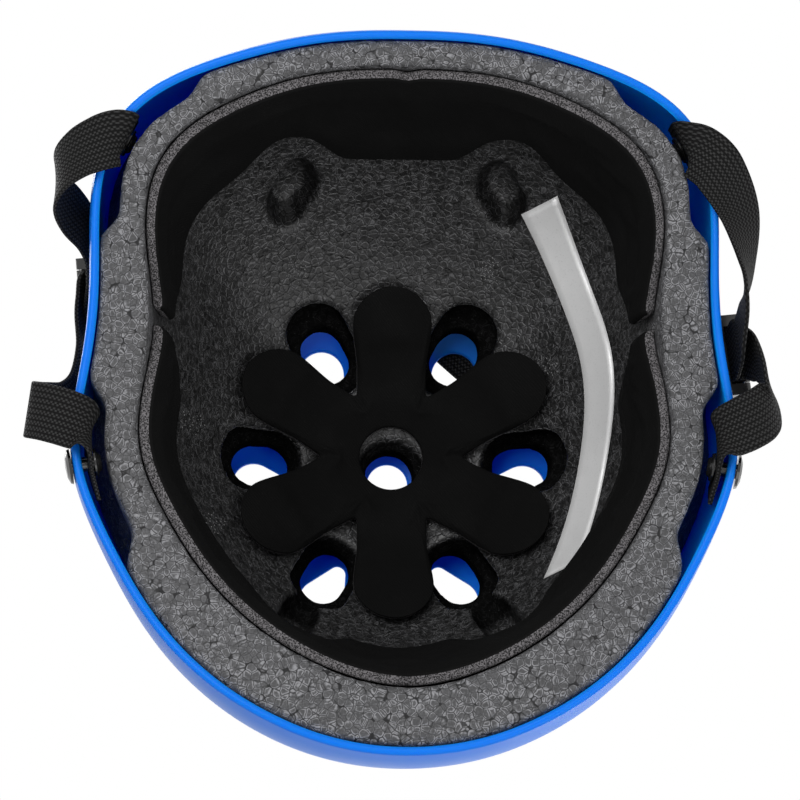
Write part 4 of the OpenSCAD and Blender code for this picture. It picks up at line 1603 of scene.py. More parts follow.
@dataclass
class WallPad(Pad):
    """Pad along the cavity's wall, from one turn to another."""

    first: float = -161
    last: float = -19
    middle: float = -90
    steps: int = 30
    tab: float = 57
    dip_at: float = 24
    droop: float = 14
    side_height: float = 51
    dip: float = 12
    dip_w: float = 8
    tab_half: float = 12
    tab_fade: float = 7
    above_rim: float = 2.5
    notch: float = 3
    notch_w: float = 1.5
    end_rise: float = 7
    end_steps: float = 3
    mm_per_degree: float = 1.75
    end_round: float = 2.2
    end_thickness: tuple[float, float] = (0.45, 0.55)
    end_free: float = 8
    columns: int = 132
    rows: int = 18

    def edges(self, t: Points, way: Points) -> tuple[Points, Points]:
        """Lower and upper edge of the pad at turns in degrees and the share of the way along it.

        Args:
            t: turns in degrees.
            way: shares of the way along the pad.

        Returns:
            Heights of the lower and the upper edge.
        """
        step = way * self.steps
        inner = smooth(np.minimum(step, self.steps - step) / self.end_steps)
        low = rim_z(np.radians(t)) + LINER_UP + self.above_rim
        low = low + self.notch * bell(t - self.middle, 0, self.notch_w) + self.end_rise * (1 - inner)
        away = np.abs(t - self.middle)
        tab = (self.tab - self.side_height) * (1 - smooth((away - self.tab_half) / self.tab_fade))
        dip = self.dip * bell(away, self.dip_at, self.dip_w)
        top = self.side_height + tab - dip - self.droop * (1 - inner)
        return low, top

    def build(self) -> Piece:
        """The pad as one padded piece.

        Returns:
            The pad.
        """
        dome = CAVITY.inset(PAD_BACK)
        way = np.arange(self.columns + 1) / self.columns
        t = self.first + (self.last - self.first) * way
        low, top = self.edges(t, way)
        run = np.minimum(way, 1 - way) * abs(self.last - self.first) * self.mm_per_degree
        growth, least = self.end_thickness
        thin = np.sqrt(np.clip(1 - (1 - np.clip(run / self.end_round, 0, 1)) ** 2, 0, 1)) * growth + least
        section = self.section(self.rows)
        rows = []
        for share, inward, depth in section:
            z = low + (top - low) * share + inward
            inside = np.minimum(np.minimum(share, 1 - share) * (top - low), run)
            sink = (PAD_BACK - self.edge_gap) * (1 - smooth(inside / self.settle_over))
            rows.append(dome.point(np.radians(t), z, d=depth * thin - sink))
        grid = np.stack(rows)
        m, n = grid.shape[:2]
        points = grid.reshape(-1, 3)
        length = reach_along(grid[0])
        uv = np.array([(length[j], section[i][0] * (top[j] - low[j])) for i in range(m) for j in range(n)])
        faces = grid_faces(m, n, False, tube=True)
        faces += [[i * n for i in range(m)], [i * n + n - 1 for i in range(m)]]
        kinds = self.kinds(section, n - 1) + [1, 1]
        free = np.array([self.freedom(share, depth) * min(1.0, run[j] / self.end_free)
                         for share, _, depth in section for j in range(n)])
        return self.complete(points, faces, kinds, uv, free)


@dataclass
class CrownPad(Pad):
    """Flower-shaped pad under the crown, with six petals and a hole."""

    reach: float = 61
    tip_r: float = 15
    neck: float = 12.6
    valley: float = 26
    hole_r: float = 11.5
    shift: float = 2.5
    tiny: float = 0.02
    columns: int = 264
    rows: int = 16

    def outline(self) -> Points:
        """Reach of the outline at even steps of the turn.

        Returns:
            Distances from the middle of the pad.
        """
        a = np.arange(self.columns) / self.columns * 360
        c = np.radians(np.abs(a % 60 - 30))
        e = self.reach - self.tip_r
        inside = np.clip(self.tip_r**2 - (e * np.sin(c)) ** 2, 0, None)
        tip = np.where(self.tip_r > e * np.sin(c), e * np.cos(c) + np.sqrt(inside), 0)
        neck = np.minimum(self.neck / np.maximum(np.sin(c), self.tiny), e)
        reach = np.maximum(np.maximum(tip, np.where(c < self.tiny, 0, neck)), self.valley)
        return (np.roll(reach, 1) + 2 * reach + np.roll(reach, -1)) / 4

    def build(self) -> Piece:
        """The pad as one padded piece.

        Returns:
            The pad.
        """
        dome = CAVITY.inset(PAD_BACK)
        a = np.arange(self.columns) / self.columns * 2 * math.pi
        reach = self.outline()
        section = self.section(self.rows)
        rows, maps = [], []
        for share, inward, depth in section:
            r = reach + (self.hole_r - reach) * share - inward
            x, y = r * np.cos(a), OUTER.crown_y - self.shift + r * np.sin(a)
            inside = np.minimum(reach - r, r - self.hole_r)
            sink = (PAD_BACK - self.edge_gap) * (1 - smooth(inside / self.settle_over))
            rows.append(dome.on_roof(x, y, d=depth - sink))
            maps.append(np.stack([x, y], -1))
        grid = np.stack(rows)
        m, n = grid.shape[:2]
        faces, kinds = grid_faces(m, n, True, tube=True), self.kinds(section, n)
        free = np.repeat([self.freedom(share, depth) for share, _, depth in section], n)
        return self.complete(grid.reshape(-1, 3), faces, kinds, np.concatenate(maps), free)


@dataclass
class HookPatches:
    """Patches of hook tape that hold the pads to the liner."""

    finishes: Finishes
    gap: float = 0.5
    thickness: float = 1.1
    steps: int = 8
    ends: Places = ((-90, 7, 26, 46), (90, 7, 26, 46))
    side_angles: tuple[float, ...] = (-52, -28, 8, 44)
    side_patch: tuple[float, ...] = (4, 24, 37)
    petal_reach: float = 46
    petal_half: float = 6.5
    petal_shift: float = 2.5

    def build(self) -> Piece:
        """All the patches as one piece.

        Returns:
            The patches.
        """
        way = np.linspace(-1, 1, self.steps + 1)
        across, along = np.meshgrid(way, way)
        depths = (self.gap + self.thickness, self.gap)
        made = []
        wall = list(self.ends)
        wall += [(math.degrees(turn(side, g)), *self.side_patch) for side in Side for g in self.side_angles]
        for t, half, low, high in wall:
            z = low + (high - low) * (along + 1) / 2
            made.append([CAVITY.point(np.radians(t + half * across), z, d=d) for d in depths])
        for a in np.radians(np.arange(30, 360, 60)):
            x = self.petal_reach * np.cos(a)
            y = OUTER.crown_y - self.petal_shift + self.petal_reach * np.sin(a)
            made.append([CAVITY.on_roof(x + self.petal_half * across, y + self.petal_half * along, d)
                         for d in depths])
        points = np.array(made)
        each = points[0].size // 3
        faces = [f for k in range(len(made)) for f in sheet_faces(len(way), len(way), k * each)]
        patches = mesh_object("HookPatches", points.reshape(-1, 3), faces)
        dress(patches, self.finishes.tape)
        patches.data.set_sharp_from_angle(angle=math.radians(40))
        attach(patches, "root")
        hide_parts("pad_hook_patches")
        return patches


Station = tuple[Points, Points]


def wall_station(side: Side, g: float, z: float, out: float, tilt: float) -> Station:
    """Station of a strap near the shell's rim, with the tilt of its face from outwards.

    Args:
        side: side of the helmet.
        g: angle from the side.
        z: height.
        out: distance from the shell.
        tilt: angle of the face from outwards.

    Returns:
        The station.
    """
    t = turn(side, g)
    normal = OUTER.axes(t, max(z, ANCHOR_Z))[2]
    a = math.radians(tilt)
    return OUTER.point(t, z) + out * normal, normal * math.cos(a) + np.array([0, 0, 1.0]) * math.sin(a)


def dome_station(side: Side, g: float, z: float, lift: float) -> Station:
    """Station of a strap that lies on the dome.

    Args:
        side: side of the helmet.
        g: angle from the side.
        z: height.
        lift: distance from the shell.

    Returns:
        The station.
    """
    t = turn(side, g)
    normal = OUTER.axes(t, z)[2]
    return OUTER.point(t, z) + lift * normal, -normal


def frame_station(f: Frame, u: float, w: float, angle: float = 0.0) -> Station:
    """Station in a frame, with the angle of its face from straight down."""
    a = math.radians(angle)
    return f.at(u, 0, w), -f.w * math.cos(a) + f.u * math.sin(a)


def bar_turn(u: float, w: float, angles: Sequence[float]) -> list[Station]:
    """Stations round a bar of the buckle.

    Args:
        u: place of the bar along the buckle.
        w: height of the bar in the buckle's frame.
        angles: angles of the stations round the bar.

    Returns:
        The stations.
    """
    wrap = BUCKLE_BAR_R + BUCKLE_GAP + WEBBING_T / 2
    made = []
    for angle in angles:
        a = math.radians(angle)
        made.append(frame_station(BUCKLE, u + wrap * math.cos(a), w + wrap * math.sin(a), angle + 90))
    return made


def divider_run(side: Side, w: float, ends: Sequence[float] = (13.5, 17)) -> list[Station]:
    """Stations straight through a strap divider."""
    return [frame_station(divider_frame(side), u, w) for u in (-17, -13.5, 0, *ends)]


def curve_through(values: Points, steps: int) -> Points:
    """Smooth curve through stations, as the construction model draws it.

    Args:
        values: places or directions of the stations.
        steps: points for each span.

    Returns:
        The curve's points.
    """
    n = len(values)
    made = []
    for i in range(n - 1):
        a, b, c, d = values[max(0, i - 1)], values[i], values[i + 1], values[min(n - 1, i + 2)]
        for k in range(steps):
            f = k / steps
            bend = (2 * a - 5 * b + 4 * c - d) * f**2 + (3 * b - a - 3 * c + d) * f**3
            made.append(0.5 * (2 * b + (c - a) * f + bend))
    made.append(values[-1])
    return np.array(made)


@dataclass
class Straps:
    """Woven straps of the harness, each swept along its own stations."""

    finishes: Finishes
    width: float = 19
    thickness: float = WEBBING_T
    border: float = 0.6
    border_start: float = 0.4
    crease: float = 60
    steps: int = 8
    low_web: float = 3.0
    high_web: float = 4.75
    high_end: float = 14.5
    back_bar: float = -35.2
    mid_bar: float = 10.4
    end_bar: float = 15.6
    slot_b: float = 12.0
    plug_end: float = 20.7
    bar_w: float = 5.3
    ladder_w: float = 4.65
    front_rise: Places = ((-FRONT_ANCHOR, 25.5, 0, 0), (-FRONT_ANCHOR, 18, 0, 0), (-40.9, 9, -0.2, 5))
    rear_rise: Places = ((18, 23, 0, 0), (13, 18, 0, 0), (8.5, 12, -0.2, 5))
    front_left_loop: Places = (
        (-40.8, 6, -4.9, 30), (-40.2, 4.6, -2.4, 65), (-38.8, 4.6, 1.6, 92), (-36.8, 7.5, 7, 122),
        (-34.6, 12.5, 11, 150), (-32.4, 19, 11, 185), (-30.4, 26, 6.4, 210), (-28.8, 33, 2.4, 200),
        (-27, 39, 1.5, 182), (-25.2, 45, 1.8, 180), (-23.6, 51, 3.1, 180))
    rear_left_loop: Places = (
        (6.6, 10, -4, 45), (5.6, 9, 2, 90), (4.8, 11.5, 9, 125), (4.2, 18, 14, 170), (3.4, 27, 9.4, 212),
        (2.2, 34, 4, 205), (-1.4, 41, 2.4, 188), (-8, 47, 3.6, 180), (-14.6, 51.5, 6, 180),
        (-18, 54.5, 6.6, 180))
    front_right_loop: Places = (
        (-40.4, 5.6, -4.9, 30), (-39, 4.9, -2.2, 65), (-36, 5.8, 2, 92), (-30.5, 11.5, 7, 125),
        (-23, 14.5, 9.5, 160), (-16.5, 15, 8.5, 180), (-11, 19.5, 6.2, 180), (-9, 26, 5, 180))
    rear_right_loop: Places = (
        (7, 10, -4, 45), (5.5, 9, 3, 90), (4, 11.5, 9, 130), (2, 16, 12.8, 160),
        (-2, 18, 12.4, 175), (-6, 21.5, 10.8, 180), (-8, 27, 8.8, 180))
    left_on_dome: Places = ((-30.5, 95, 2.2), (-36, 99.5, 2.6))
    right_on_dome: Places = (
        (-11.5, 71, 2.6), (-17, 79, 2.2), (-24, 87, 2.2), (-32, 96, 2.2), (-41, 105.5, 2.2),
        (-50, 112.5, 2.2), (-60, 118, 2.2), (-70, 122, 2.4), (-79, 123.5, 3.2))
    to_back_bar: Places = ((-12, 1.2), (-4, 2.2))
    from_back_bar: Places = ((-4, 6.2, 205), (-8, 4.3, 200), (-12, 3.2, 185))
    tail_on_dome: Places = ((-2, -61, 7.4), (9, -51, 5.8), (24, -37.6, 2), (43, -21.3, 1.7), (58, -8.4, 1.7))
    tail_angle: float = 40
    give_from: tuple[float, float, float] = (-24, 87, 2.2)
    give_to: float = 3

    def loop(self, side: Side, rise: Places, places: Places) -> list[Station]:
        """Stations from above an anchor down inside the shell and in a loop round the rim.

        Args:
            side: side of the helmet.
            rise: angle, height, distance and tilt of the stations inside the shell.
            places: the same for the stations round the rim.

        Returns:
            The stations.
        """
        made = [wall_station(side, g, z, out - SHELL_T - WEB_IN, tilt) for g, z, out, tilt in rise]
        return made + [wall_station(side, *p) for p in places]

    def front_left(self) -> list[Station]:
        """Stations of the left front strap, which ends in a fold round the socket's bar.

        Returns:
            The stations.
        """
        made = self.loop(Side.LEFT, self.front_rise, self.front_left_loop)
        made += divider_run(Side.LEFT, self.low_web)
        made += [dome_station(Side.LEFT, *p) for p in self.left_on_dome]
        made += [frame_station(BUCKLE, self.back_bar + u, w) for u, w in self.to_back_bar]
        made += bar_turn(self.back_bar, self.bar_w, (-90, -45, 0, 45, 90))
        return made + [frame_station(BUCKLE, self.back_bar + u, w, a) for u, w, a in self.from_back_bar]

    def front_right(self) -> list[Station]:
        """Stations of the right front strap, which crosses the dome to the plug's middle bar.

        Returns:
            The stations.
        """
        made = self.loop(Side.RIGHT, self.front_rise, self.front_right_loop)
        made += divider_run(Side.RIGHT, self.low_web)
        made += [dome_station(Side.RIGHT, *p) for p in self.right_on_dome]
        made += [frame_station(BUCKLE, self.plug_end + 4, 0), frame_station(BUCKLE, self.end_bar + 1.5, 0.85),
                 frame_station(BUCKLE, self.slot_b, 1.3, -5)]
        return made + bar_turn(self.mid_bar, self.ladder_w, (-100, -140, -174))

    def rear(self, side: Side, places: Places) -> list[Station]:
        """Stations of a rear strap, which ends in a divider.

        Args:
            side: side of the helmet.
            places: stations round the rim.

        Returns:
            The stations.
        """
        return self.loop(side, self.rear_rise, places) + divider_run(side, self.high_web, (self.high_end,))

    def tail(self) -> list[Station]:
        """Stations of the free end, from the plug's middle bar back over the dome.

        Returns:
            The stations.
        """
        made = bar_turn(self.mid_bar, self.ladder_w, (-188, -225, -270, -315, -360))
        made += [frame_station(BUCKLE, self.slot_b + 2.4, 3.2, -225),
                 frame_station(BUCKLE, self.end_bar + 1.5, 2.85, -182),
                 frame_station(BUCKLE, self.plug_end + 0.5, 2.4, -180),
                 frame_station(BUCKLE, self.plug_end + 4, 2.7, -180)]
        for x, y, lift in self.tail_on_dome:
            f = roof_frame(OUTER, x, y, self.tail_angle)
            made.append((f.origin + lift * f.w, f.w))
        return made

    def sweep(self, name: str, stations: list[Station]) -> Piece:
        """Strap with rounded borders, mapped in millimetres along and across.

        Args:
            name: name of the piece.
            stations: places along its middle, each with the normal of its face.

        Returns:
            The strap.
        """
        middle = curve_through(np.array([s[0] for s in stations]), self.steps)
        facing = curve_through(np.array([s[1] for s in stations]), self.steps)
        along = unit(np.gradient(middle, axis=0))
        side = unit(np.cross(facing, along))
        face = np.cross(along, side)
        half_w, half_t, r = self.width / 2, self.thickness / 2, self.border
        angles = np.linspace(self.border_start, math.pi - self.border_start, 5)
        line = [(x, -half_t) for x in np.linspace(-half_w + r, half_w - r, 9)]
        line += [(half_w - r + r * math.sin(a), -half_t * math.cos(a)) for a in angles]
        line = np.array(line + [(-x, -y) for x, y in line])
        n, m = len(line), len(middle)
        points = middle[:, None] + line[None, :, :1] * side[:, None] + line[None, :, 1:] * face[:, None]
        points = points.reshape(-1, 3)
        faces = grid_faces(m, n, True)
        faces += [list(range(n))[::-1], [(m - 1) * n + j for j in range(n)]]
        strap = mesh_object(name, points, faces)
        run, girth = reach_along(middle), reach_along(np.vstack([line, line[:1]]))
        layer = strap.data.uv_layers.new(name="UVMap")
        for polygon in strap.data.polygons:
            columns = [v % n for v in polygon.vertices]
            wraps = 0 in columns and n - 1 in columns and len(columns) == 4
            for corner, v in zip(polygon.loop_indices, polygon.vertices):
                column = v % n
                across = girth[n] if wraps and column == 0 else girth[column]
                layer.data[corner].uv = (run[v // n], across)
        dress(strap, self.finishes.webbing)
        strap.data.set_sharp_from_angle(angle=math.radians(self.crease))
        return strap

    def build(self) -> list[Piece]:
        """The five straps.

        Returns:
            The straps.
        """
        made = []
        for name, node, body, stations in (
            ("StrapFrontLeft", "strap_front_left", "root", self.front_left()),
            ("StrapRearLeft", "strap_rear_left", "root", self.rear(Side.LEFT, self.rear_left_loop)),
            ("StrapFrontRight", "strap_front_right", "", self.front_right()),
            ("StrapRearRight", "strap_rear_right", "root", self.rear(Side.RIGHT, self.rear_right_loop)),
            ("StrapTail", "strap_tail", "plug", self.tail()),
        ):
            strap = self.sweep(name, stations)
            if body:
                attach(strap, body)
            else:
                start = Vector(dome_station(Side.RIGHT, *self.give_from)[0] * MM)
                end = Vector(BUCKLE.at(self.plug_end + self.give_to, 0, 0) * MM)
                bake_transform(strap)
            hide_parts(node)
            made.append(strap)
        return made


class Repeats:
    """Small pieces that Geometry Nodes repeat along paths or round centres."""

    def __init__(self, name: str, points: Points, edges: Sequence[tuple[int, int]]) -> None:
        """Makes the base mesh and an empty tree.

        Args:
            name: name of the piece.
            points: places of the paths or centres in millimetres.
            edges: pairs of point numbers along each path.
        """
        mesh = bpy.data.meshes.new(name)
        mesh.from_pydata((np.asarray(points, float) * MM).tolist(), list(edges), [])
        self.obj = bpy.data.objects.new(name, mesh)
        bpy.context.scene.collection.objects.link(self.obj)
        self.tree = bpy.data.node_groups.new(name, "GeometryNodeTree")
        self.tree.interface.new_socket("Geometry", in_out="INPUT", socket_type="NodeSocketGeometry")
        self.tree.interface.new_socket("Geometry", in_out="OUTPUT", socket_type="NodeSocketGeometry")
        self.values: dict[str, object] = {}

    def size(self, label: str, value: float | int, kind: str = "NodeSocketFloat") -> None:
        """Adds a named input of the tree, with its value."""
        socket = self.tree.interface.new_socket(label, in_out="INPUT", socket_type=kind)
        self.values[socket.identifier] = value

    def add(self, kind: str, links: dict[str | int, object] | None = None, **values: object) -> Node:
        """Adds a node to the tree.

        Args:
            kind: type of the node.
            links: sockets or values that feed its inputs, by name or number.
            values: properties of the node by name.

        Returns:
            The new node.
        """
        node = self.tree.nodes.new(kind)
        for key, value in values.items():
            setattr(node, key, value)
        for key, value in (links or {}).items():
            feed(self.tree, node.inputs[key], value)
        return node

    def math(self, operation: str, *inputs: object) -> Socket:
        """Result of a Math node."""
        return self.add("ShaderNodeMath", dict(enumerate(inputs)), operation=operation).outputs[0]

    def finish(self, points: Socket, shape: Socket, turn_by: Socket,
               material: Material) -> Piece:
        """Places a shape on points and turns the result into a plain mesh.

        Args:
            points: points of the tree.
            shape: geometry that is repeated.
            turn_by: rotation of each copy.
            material: finish of the copies.

        Returns:
            The piece.
        """
        placed = self.add("GeometryNodeInstanceOnPoints",
                          {"Points": points, "Instance": shape, "Rotation": turn_by})
        real = self.add("GeometryNodeRealizeInstances", {"Geometry": placed.outputs[0]})
        finished = self.add("GeometryNodeSetMaterial", {"Geometry": real.outputs[0], "Material": material})
        self.add("NodeGroupOutput", {0: finished.outputs[0]})
        modifier = self.obj.modifiers.new("Repeat", "NODES")
        modifier.node_group = self.tree
        for identifier, value in self.values.items():
            modifier[identifier] = value
        settle(self.obj)
        self.obj.data.shade_smooth()
        return self.obj


@dataclass
class Stitches:
    """Sewn bars of thread on the webbing, one a path."""

    finishes: Finishes
    pitch: float = 2.1
    length: float = 1.5
    radius: float = 0.24
    sides: int = 8
    half_w: float = 7.5
    box: tuple[float, float] = (-46.2, -42.2)
    fold: tuple[float, float] = (-47.2, 3.4)
    fold_slope: float = 1.1 / 4
    lift: float = 0.78
    hem_place: tuple[float, float, float] = (58, -8.4, 40)
    hem_lines: tuple[float, float] = (-1.6, -4.4)
    hem_lift: float = 2.5

    def sew(self, name: str, paths: Sequence[Sequence[Points]], body: str) -> Piece:
        """Thread along paths of places.

        Args:
            name: name of the piece.
            paths: places of each path in millimetres.
            body: body that carries the thread.

        Returns:
            The stitches.
        """
        points = [p for path in paths for p in path]
        edges, start = [], 0
        for path in paths:
            edges += [(start + i, start + i + 1) for i in range(len(path) - 1)]
            start += len(path)
        made = Repeats(name, np.array(points), edges)
        made.size("Pitch", self.pitch * MM)
        made.size("Stitch Length", self.length * MM)
        made.size("Thread Radius", self.radius * MM)
        given = made.add("NodeGroupInput")
        curve = made.add("GeometryNodeMeshToCurve", {"Mesh": given.outputs[0]})
        even = made.add("GeometryNodeResampleCurve",
                        {"Curve": curve.outputs[0], "Length": given.outputs["Pitch"]}, mode="LENGTH")
        dots = made.add("GeometryNodeCurveToPoints", {"Curve": even.outputs[0]}, mode="EVALUATED")
        bar = made.add("GeometryNodeMeshCylinder", {
            "Vertices": self.sides, "Radius": given.outputs["Thread Radius"],
            "Depth": given.outputs["Stitch Length"]})
        aim = made.add("FunctionNodeAlignRotationToVector", {"Vector": dots.outputs["Tangent"]}, axis="Z")
        thread = made.finish(dots.outputs["Points"], bar.outputs[0], aim.outputs[0], self.finishes.thread)
        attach(thread, body)
        return thread

    def on_fold(self, u: float, v: float) -> Points:
        """Place on the webbing's fold at the socket, at coordinates of the buckle.

        Args:
            u: place along the buckle.
            v: place across it.

        Returns:
            The place.
        """
        start, height = self.fold
        return BUCKLE.at(u, v, height + (u - start) * self.fold_slope + self.lift)

    def build(self) -> list[Piece]:
        """A box of stitches on the fold at the socket and two bars on the hem of the tail.

        Returns:
            The box and the bars.
        """
        (low, high), wide = self.box, self.half_w
        corners = ((low, -wide), (low, wide), (high, wide), (high, -wide), (low, -wide))
        box = [self.on_fold(u, v) for u, v in corners]
        f = roof_frame(OUTER, *self.hem_place)
        hem = [[f.at(u, v, self.hem_lift) for v in (-wide, wide)] for u in self.hem_lines]
        return [self.sew("StitchesSocket", [box], "root"), self.sew("StitchesTail", hem, "plug")]


@dataclass
class MouldNibs:
    """Round clusters of tiny nibs that the mould's steam vents leave on the foam; the nibs are real bumps,
    and their pale colour is a painted glint.
    """

    finishes: Finishes
    centres: Places = ((-35.4, -56.5), (35.1, -57), (54.9, -21.1), (-72.1, 2.9), (-64.4, 38.5))
    below: float = 6.0
    turn_step: float = 137.5
    jitter: float = 0.5
    ray: float = 50
    count: int = 26
    cluster: float = 4.4
    radius: float = 0.27
    seed: int = 7

    def build(self, liner: Piece) -> Piece:
        """Nibs on the liner's inner face.

        Args:
            liner: the liner that they stand on.

        Returns:
            The nibs.
        """
        base = [CAVITY.on_roof(np.array(x), np.array(y), self.below) for x, y in self.centres]
        made = Repeats("MouldNibs", np.array(base), [])
        made.size("Nibs", self.count, "NodeSocketInt")
        made.size("Cluster Radius", self.cluster * MM)
        made.size("Nib Radius", self.radius * MM)
        made.size("Seed", self.seed, "NodeSocketInt")
        given = made.add("NodeGroupInput")
        many = made.add("GeometryNodeDuplicateElements",
                        {"Geometry": given.outputs[0], "Amount": given.outputs["Nibs"]}, domain="POINT")
        index = made.add("GeometryNodeInputIndex").outputs[0]
        angle = made.add("FunctionNodeRandomValue", {"ID": index, "Seed": given.outputs["Seed"]})
        angle.inputs["Max"].default_value = 1.0
        step = made.math("MULTIPLY", index, math.radians(self.turn_step))
        share = made.math("DIVIDE", many.outputs["Duplicate Index"], given.outputs["Nibs"])
        reach = made.math("MULTIPLY", made.math("SQRT", share), given.outputs["Cluster Radius"])
        jitter = made.math("MULTIPLY_ADD", angle.outputs["Value"], self.jitter, step)
        x, y = (made.math("MULTIPLY", made.math(wave, jitter), reach) for wave in ("COSINE", "SINE"))
        offset = made.add("ShaderNodeCombineXYZ", {0: x, 1: y})
        spread = made.add("GeometryNodeSetPosition",
                          {"Geometry": many.outputs[0], "Offset": offset.outputs[0]})
        target = made.add("GeometryNodeObjectInfo", {"Object": liner}, transform_space="RELATIVE")
        up = made.add("GeometryNodeRaycast", {
            "Target Geometry": target.outputs["Geometry"], "Ray Direction": (0.0, 0.0, 1.0),
            "Ray Length": self.ray * MM})
        landed = made.add("GeometryNodeSetPosition",
                          {"Geometry": spread.outputs[0], "Position": up.outputs["Hit Position"]})
        # Each nib is a small sphere in the pale colour that paints a glint.
        glint_nib = made.add("GeometryNodeMeshIcoSphere", {"Radius": given.outputs["Nib Radius"]})
        aim = made.add("FunctionNodeAlignRotationToVector", {"Vector": up.outputs["Hit Normal"]}, axis="Z")
        nibs = made.finish(landed.outputs[0], glint_nib.outputs[0], aim.outputs[0], self.finishes.glint_nib)
        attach(nibs, "root")
        return nibs


@dataclass
class Fittings:
    """Moulded fittings of the harness, which keep their construction shapes."""

    finishes: Finishes

    def build(self) -> None:
        """Gives each fitting its finish."""
        for name in ("rivets", "ring_washers"):
            dress_node(name, self.finishes.rivet)
        for name in ("divider_base_left", "divider_base_right", "divider_cover_left", "divider_cover_right",
                     "buckle_socket", "buckle_plug", "release_arm_upper", "release_arm_lower"):
            dress_node(name, self.finishes.fitting)
        dress_node("divider_pins", self.finishes.pin)


@dataclass
class Label:
    """Bare strip stuck to the cavity's right wall.

    Its two long borders are curves through plan places at the brow end, the middle and the nape end.
    """

    finishes: Finishes
    inner: Places = ((44.7, -74), (67, -10), (51.2, 57.6))
    outer: Places = ((56.5, -78.3), (75.7, -12), (62.1, 52.7))
    columns: int = 60
    rows: int = 6
    lift: float = 0.35
    thickness: float = 0.15

    def border(self, places: Places, way: Points) -> Points:
        """Smooth curve through three places.

        Args:
            places: the three places.
            way: shares of the way along.

        Returns:
            The points, with the coordinates first.
        """
        first, middle, last = (np.array(place)[:, None] for place in places)
        return first * (2 * way - 1) * (way - 1) + middle * 4 * way * (1 - way) + last * way * (2 * way - 1)

    def build(self) -> Piece:
        """The strip as a thin closed sheet of film.

        Returns:
            The strip.
        """
        way = np.linspace(0, 1, self.columns)
        inner, outer = self.border(self.inner, way), self.border(self.outer, way)
        share = np.linspace(0, 1, self.rows)[:, None]
        x = inner[0] + (outer[0] - inner[0]) * share
        y = inner[1] + (outer[1] - inner[1]) * share
        back = CAVITY.on_roof(x, y, d=self.lift)
        face = CAVITY.on_roof(x, y, d=self.lift + self.thickness)
        points = np.concatenate([back.reshape(-1, 3), face.reshape(-1, 3)])
        faces = sheet_faces(self.rows, self.columns)
        label = mesh_object("LabelStrip", points, faces)
        dress(label, self.finishes.label)
        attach(label, "root")
        return label


@dataclass(frozen=True)
class Lamp:
    """Soft square lamp, with its place and size in metres and its power in watts."""

    name: str
    place: tuple[float, float, float]
    size: float
    power: float


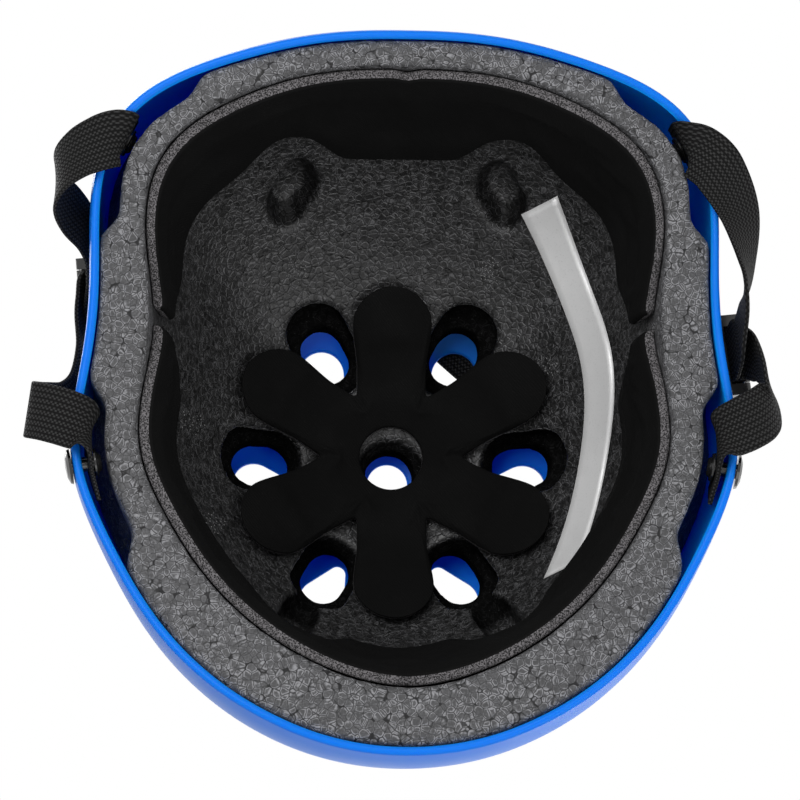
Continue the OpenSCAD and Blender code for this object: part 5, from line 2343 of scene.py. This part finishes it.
@dataclass
class Studio:
    """Camera, lamps, floor and background."""

    looking: tuple[float, float, float] = (0.058, -0.156, 0.986)
    distance: float = 1000
    lens: float = 136.35
    sensor: float = 36
    shift: tuple[float, float] = (-0.0111, -0.019)
    lamps: tuple[Lamp, ...] = (
        Lamp("KeyBelow", (-0.5, -0.5, -1.3), 1.0, 14),
        Lamp("FillBelow", (0.7, 0.8, -0.9), 1.2, 8),
        Lamp("KeyAbove", (-0.9, -1.0, 1.5), 1.2, 22),
        Lamp("FillAbove", (1.2, 0.9, 1.2), 1.2, 10),
    )
    lamp_aim: tuple[float, float, float] = (0, 0, 0.06)
    floor_half: float = 3000
    floor_z: float = -0.5
    floor_tones: tuple[float, float] = (0.78, 0.82)
    floor_roughness: float = 0.8
    world_light: float = 0.45

    def camera(self) -> None:
        """Camera below the rim, looking up into the cavity."""
        d = Vector(self.looking).normalized()
        up = Vector((0, -1, 0))
        up = (up - up.dot(d) * d).normalized()
        right = d.cross(up)
        data = bpy.data.cameras.new("Camera")
        data.lens = self.lens
        data.sensor_width = self.sensor
        data.shift_x, data.shift_y = self.shift
        camera = bpy.data.objects.new("Camera", data)
        facing = Matrix((right, up, -d)).transposed().to_4x4()
        camera.matrix_world = Matrix.Translation(-d * self.distance * MM) @ facing
        bpy.context.scene.collection.objects.link(camera)
        bpy.context.scene.camera = camera

    def hang(self, lamp: Lamp) -> None:
        """Adds a lamp that faces the helmet.

        Args:
            lamp: the lamp's name, place, size and power.
        """
        data = bpy.data.lights.new(lamp.name, "AREA")
        data.size = lamp.size
        data.energy = lamp.power
        light = bpy.data.objects.new(lamp.name, data)
        light.location = lamp.place
        aim = Vector(self.lamp_aim) - Vector(lamp.place)
        light.rotation_euler = aim.to_track_quat("-Z", "Y").to_euler()
        bpy.context.scene.collection.objects.link(light)

    def floor(self) -> None:
        """Pale floor that shows from above only and hides nothing from below."""
        half = self.floor_half
        around = ((-half, -half), (half, -half), (half, half), (-half, half))
        corners = [(x, y, self.floor_z) for x, y in around]
        floor = mesh_object("Floor", np.array(corners), [[0, 1, 2, 3]], closed=False)
        n = Nodes("PaleFloor")
        low, high = self.floor_tones
        n.finish(Base_Color=n.mix(n.noise(3, 2), grey(low), grey(high)), Roughness=self.floor_roughness)
        clear = n.add("ShaderNodeBsdfTransparent")
        facing = n.add("ShaderNodeNewGeometry").outputs["Backfacing"]
        both = n.add("ShaderNodeMixShader", in_0=facing, in_1=n.shader.outputs[0], in_2=clear.outputs[0])
        n.tree.links.new(both.outputs[0], n.tree.nodes["Material Output"].inputs[0])
        dress(floor, n.material)
        floor.visible_shadow = False
        floor.visible_diffuse = False
        floor.visible_glossy = False

    def world(self) -> None:
        """White background with a soft, even light."""
        world = bpy.data.worlds.new("Studio")
        bpy.context.scene.world = world
        world.use_nodes = True
        tree = world.node_tree
        light = tree.nodes["Background"]
        light.inputs[0].default_value = (1, 1, 1, 1)
        light.inputs[1].default_value = self.world_light
        white = tree.nodes.new("ShaderNodeBackground")
        white.inputs[0].default_value = (1, 1, 1, 1)
        white.inputs[1].default_value = 1.0
        path = tree.nodes.new("ShaderNodeLightPath")
        seen = path.outputs["Is Camera Ray"]
        for ray in ("Is Glossy Ray", "Is Transmission Ray"):
            either = tree.nodes.new("ShaderNodeMath")
            either.operation = "MAXIMUM"
            tree.links.new(seen, either.inputs[0])
            tree.links.new(path.outputs[ray], either.inputs[1])
            seen = either.outputs[0]
        mix = tree.nodes.new("ShaderNodeMixShader")
        tree.links.new(seen, mix.inputs[0])
        tree.links.new(light.outputs[0], mix.inputs[1])
        tree.links.new(white.outputs[0], mix.inputs[2])
        tree.links.new(mix.outputs[0], tree.nodes["World Output"].inputs[0])

    def build(self) -> None:
        """Sets the whole studio up."""
        self.camera()
        for lamp in self.lamps:
            self.hang(lamp)
        self.floor()
        self.world()
        bpy.context.scene.view_settings.view_transform = "Standard"


def main() -> None:
    """Builds the studio and every piece in order."""
    logging.basicConfig(level=logging.INFO, format="%(name)s: %(message)s")
    Studio().build()
    finishes = Finishes()
    vents = Vents()
    pieces = [Shell(finishes, vents).build(), Liner(finishes, vents).build()]
    pieces.append(WallPad("FrontPad", "front_pad", finishes).build())
    pieces.append(WallPad("RearPad", "rear_pad", finishes, first=-16, last=196, middle=90, steps=42, tab=61,
                          dip_at=29, droop=16, columns=186).build())
    pieces.append(CrownPad("CrownPad", "crown_pad", finishes).build())
    pieces.append(HookPatches(finishes).build())
    pieces += Straps(finishes).build()
    pieces.append(Label(finishes).build())
    pieces.append(MouldNibs(finishes).build(pieces[1]))
    pieces += Stitches(finishes).build()
    Fittings(finishes).build()
    for piece in pieces:
        log.info("%s: %d faces", piece.name, len(piece.data.polygons))


if __name__ == "__main__":
    main()
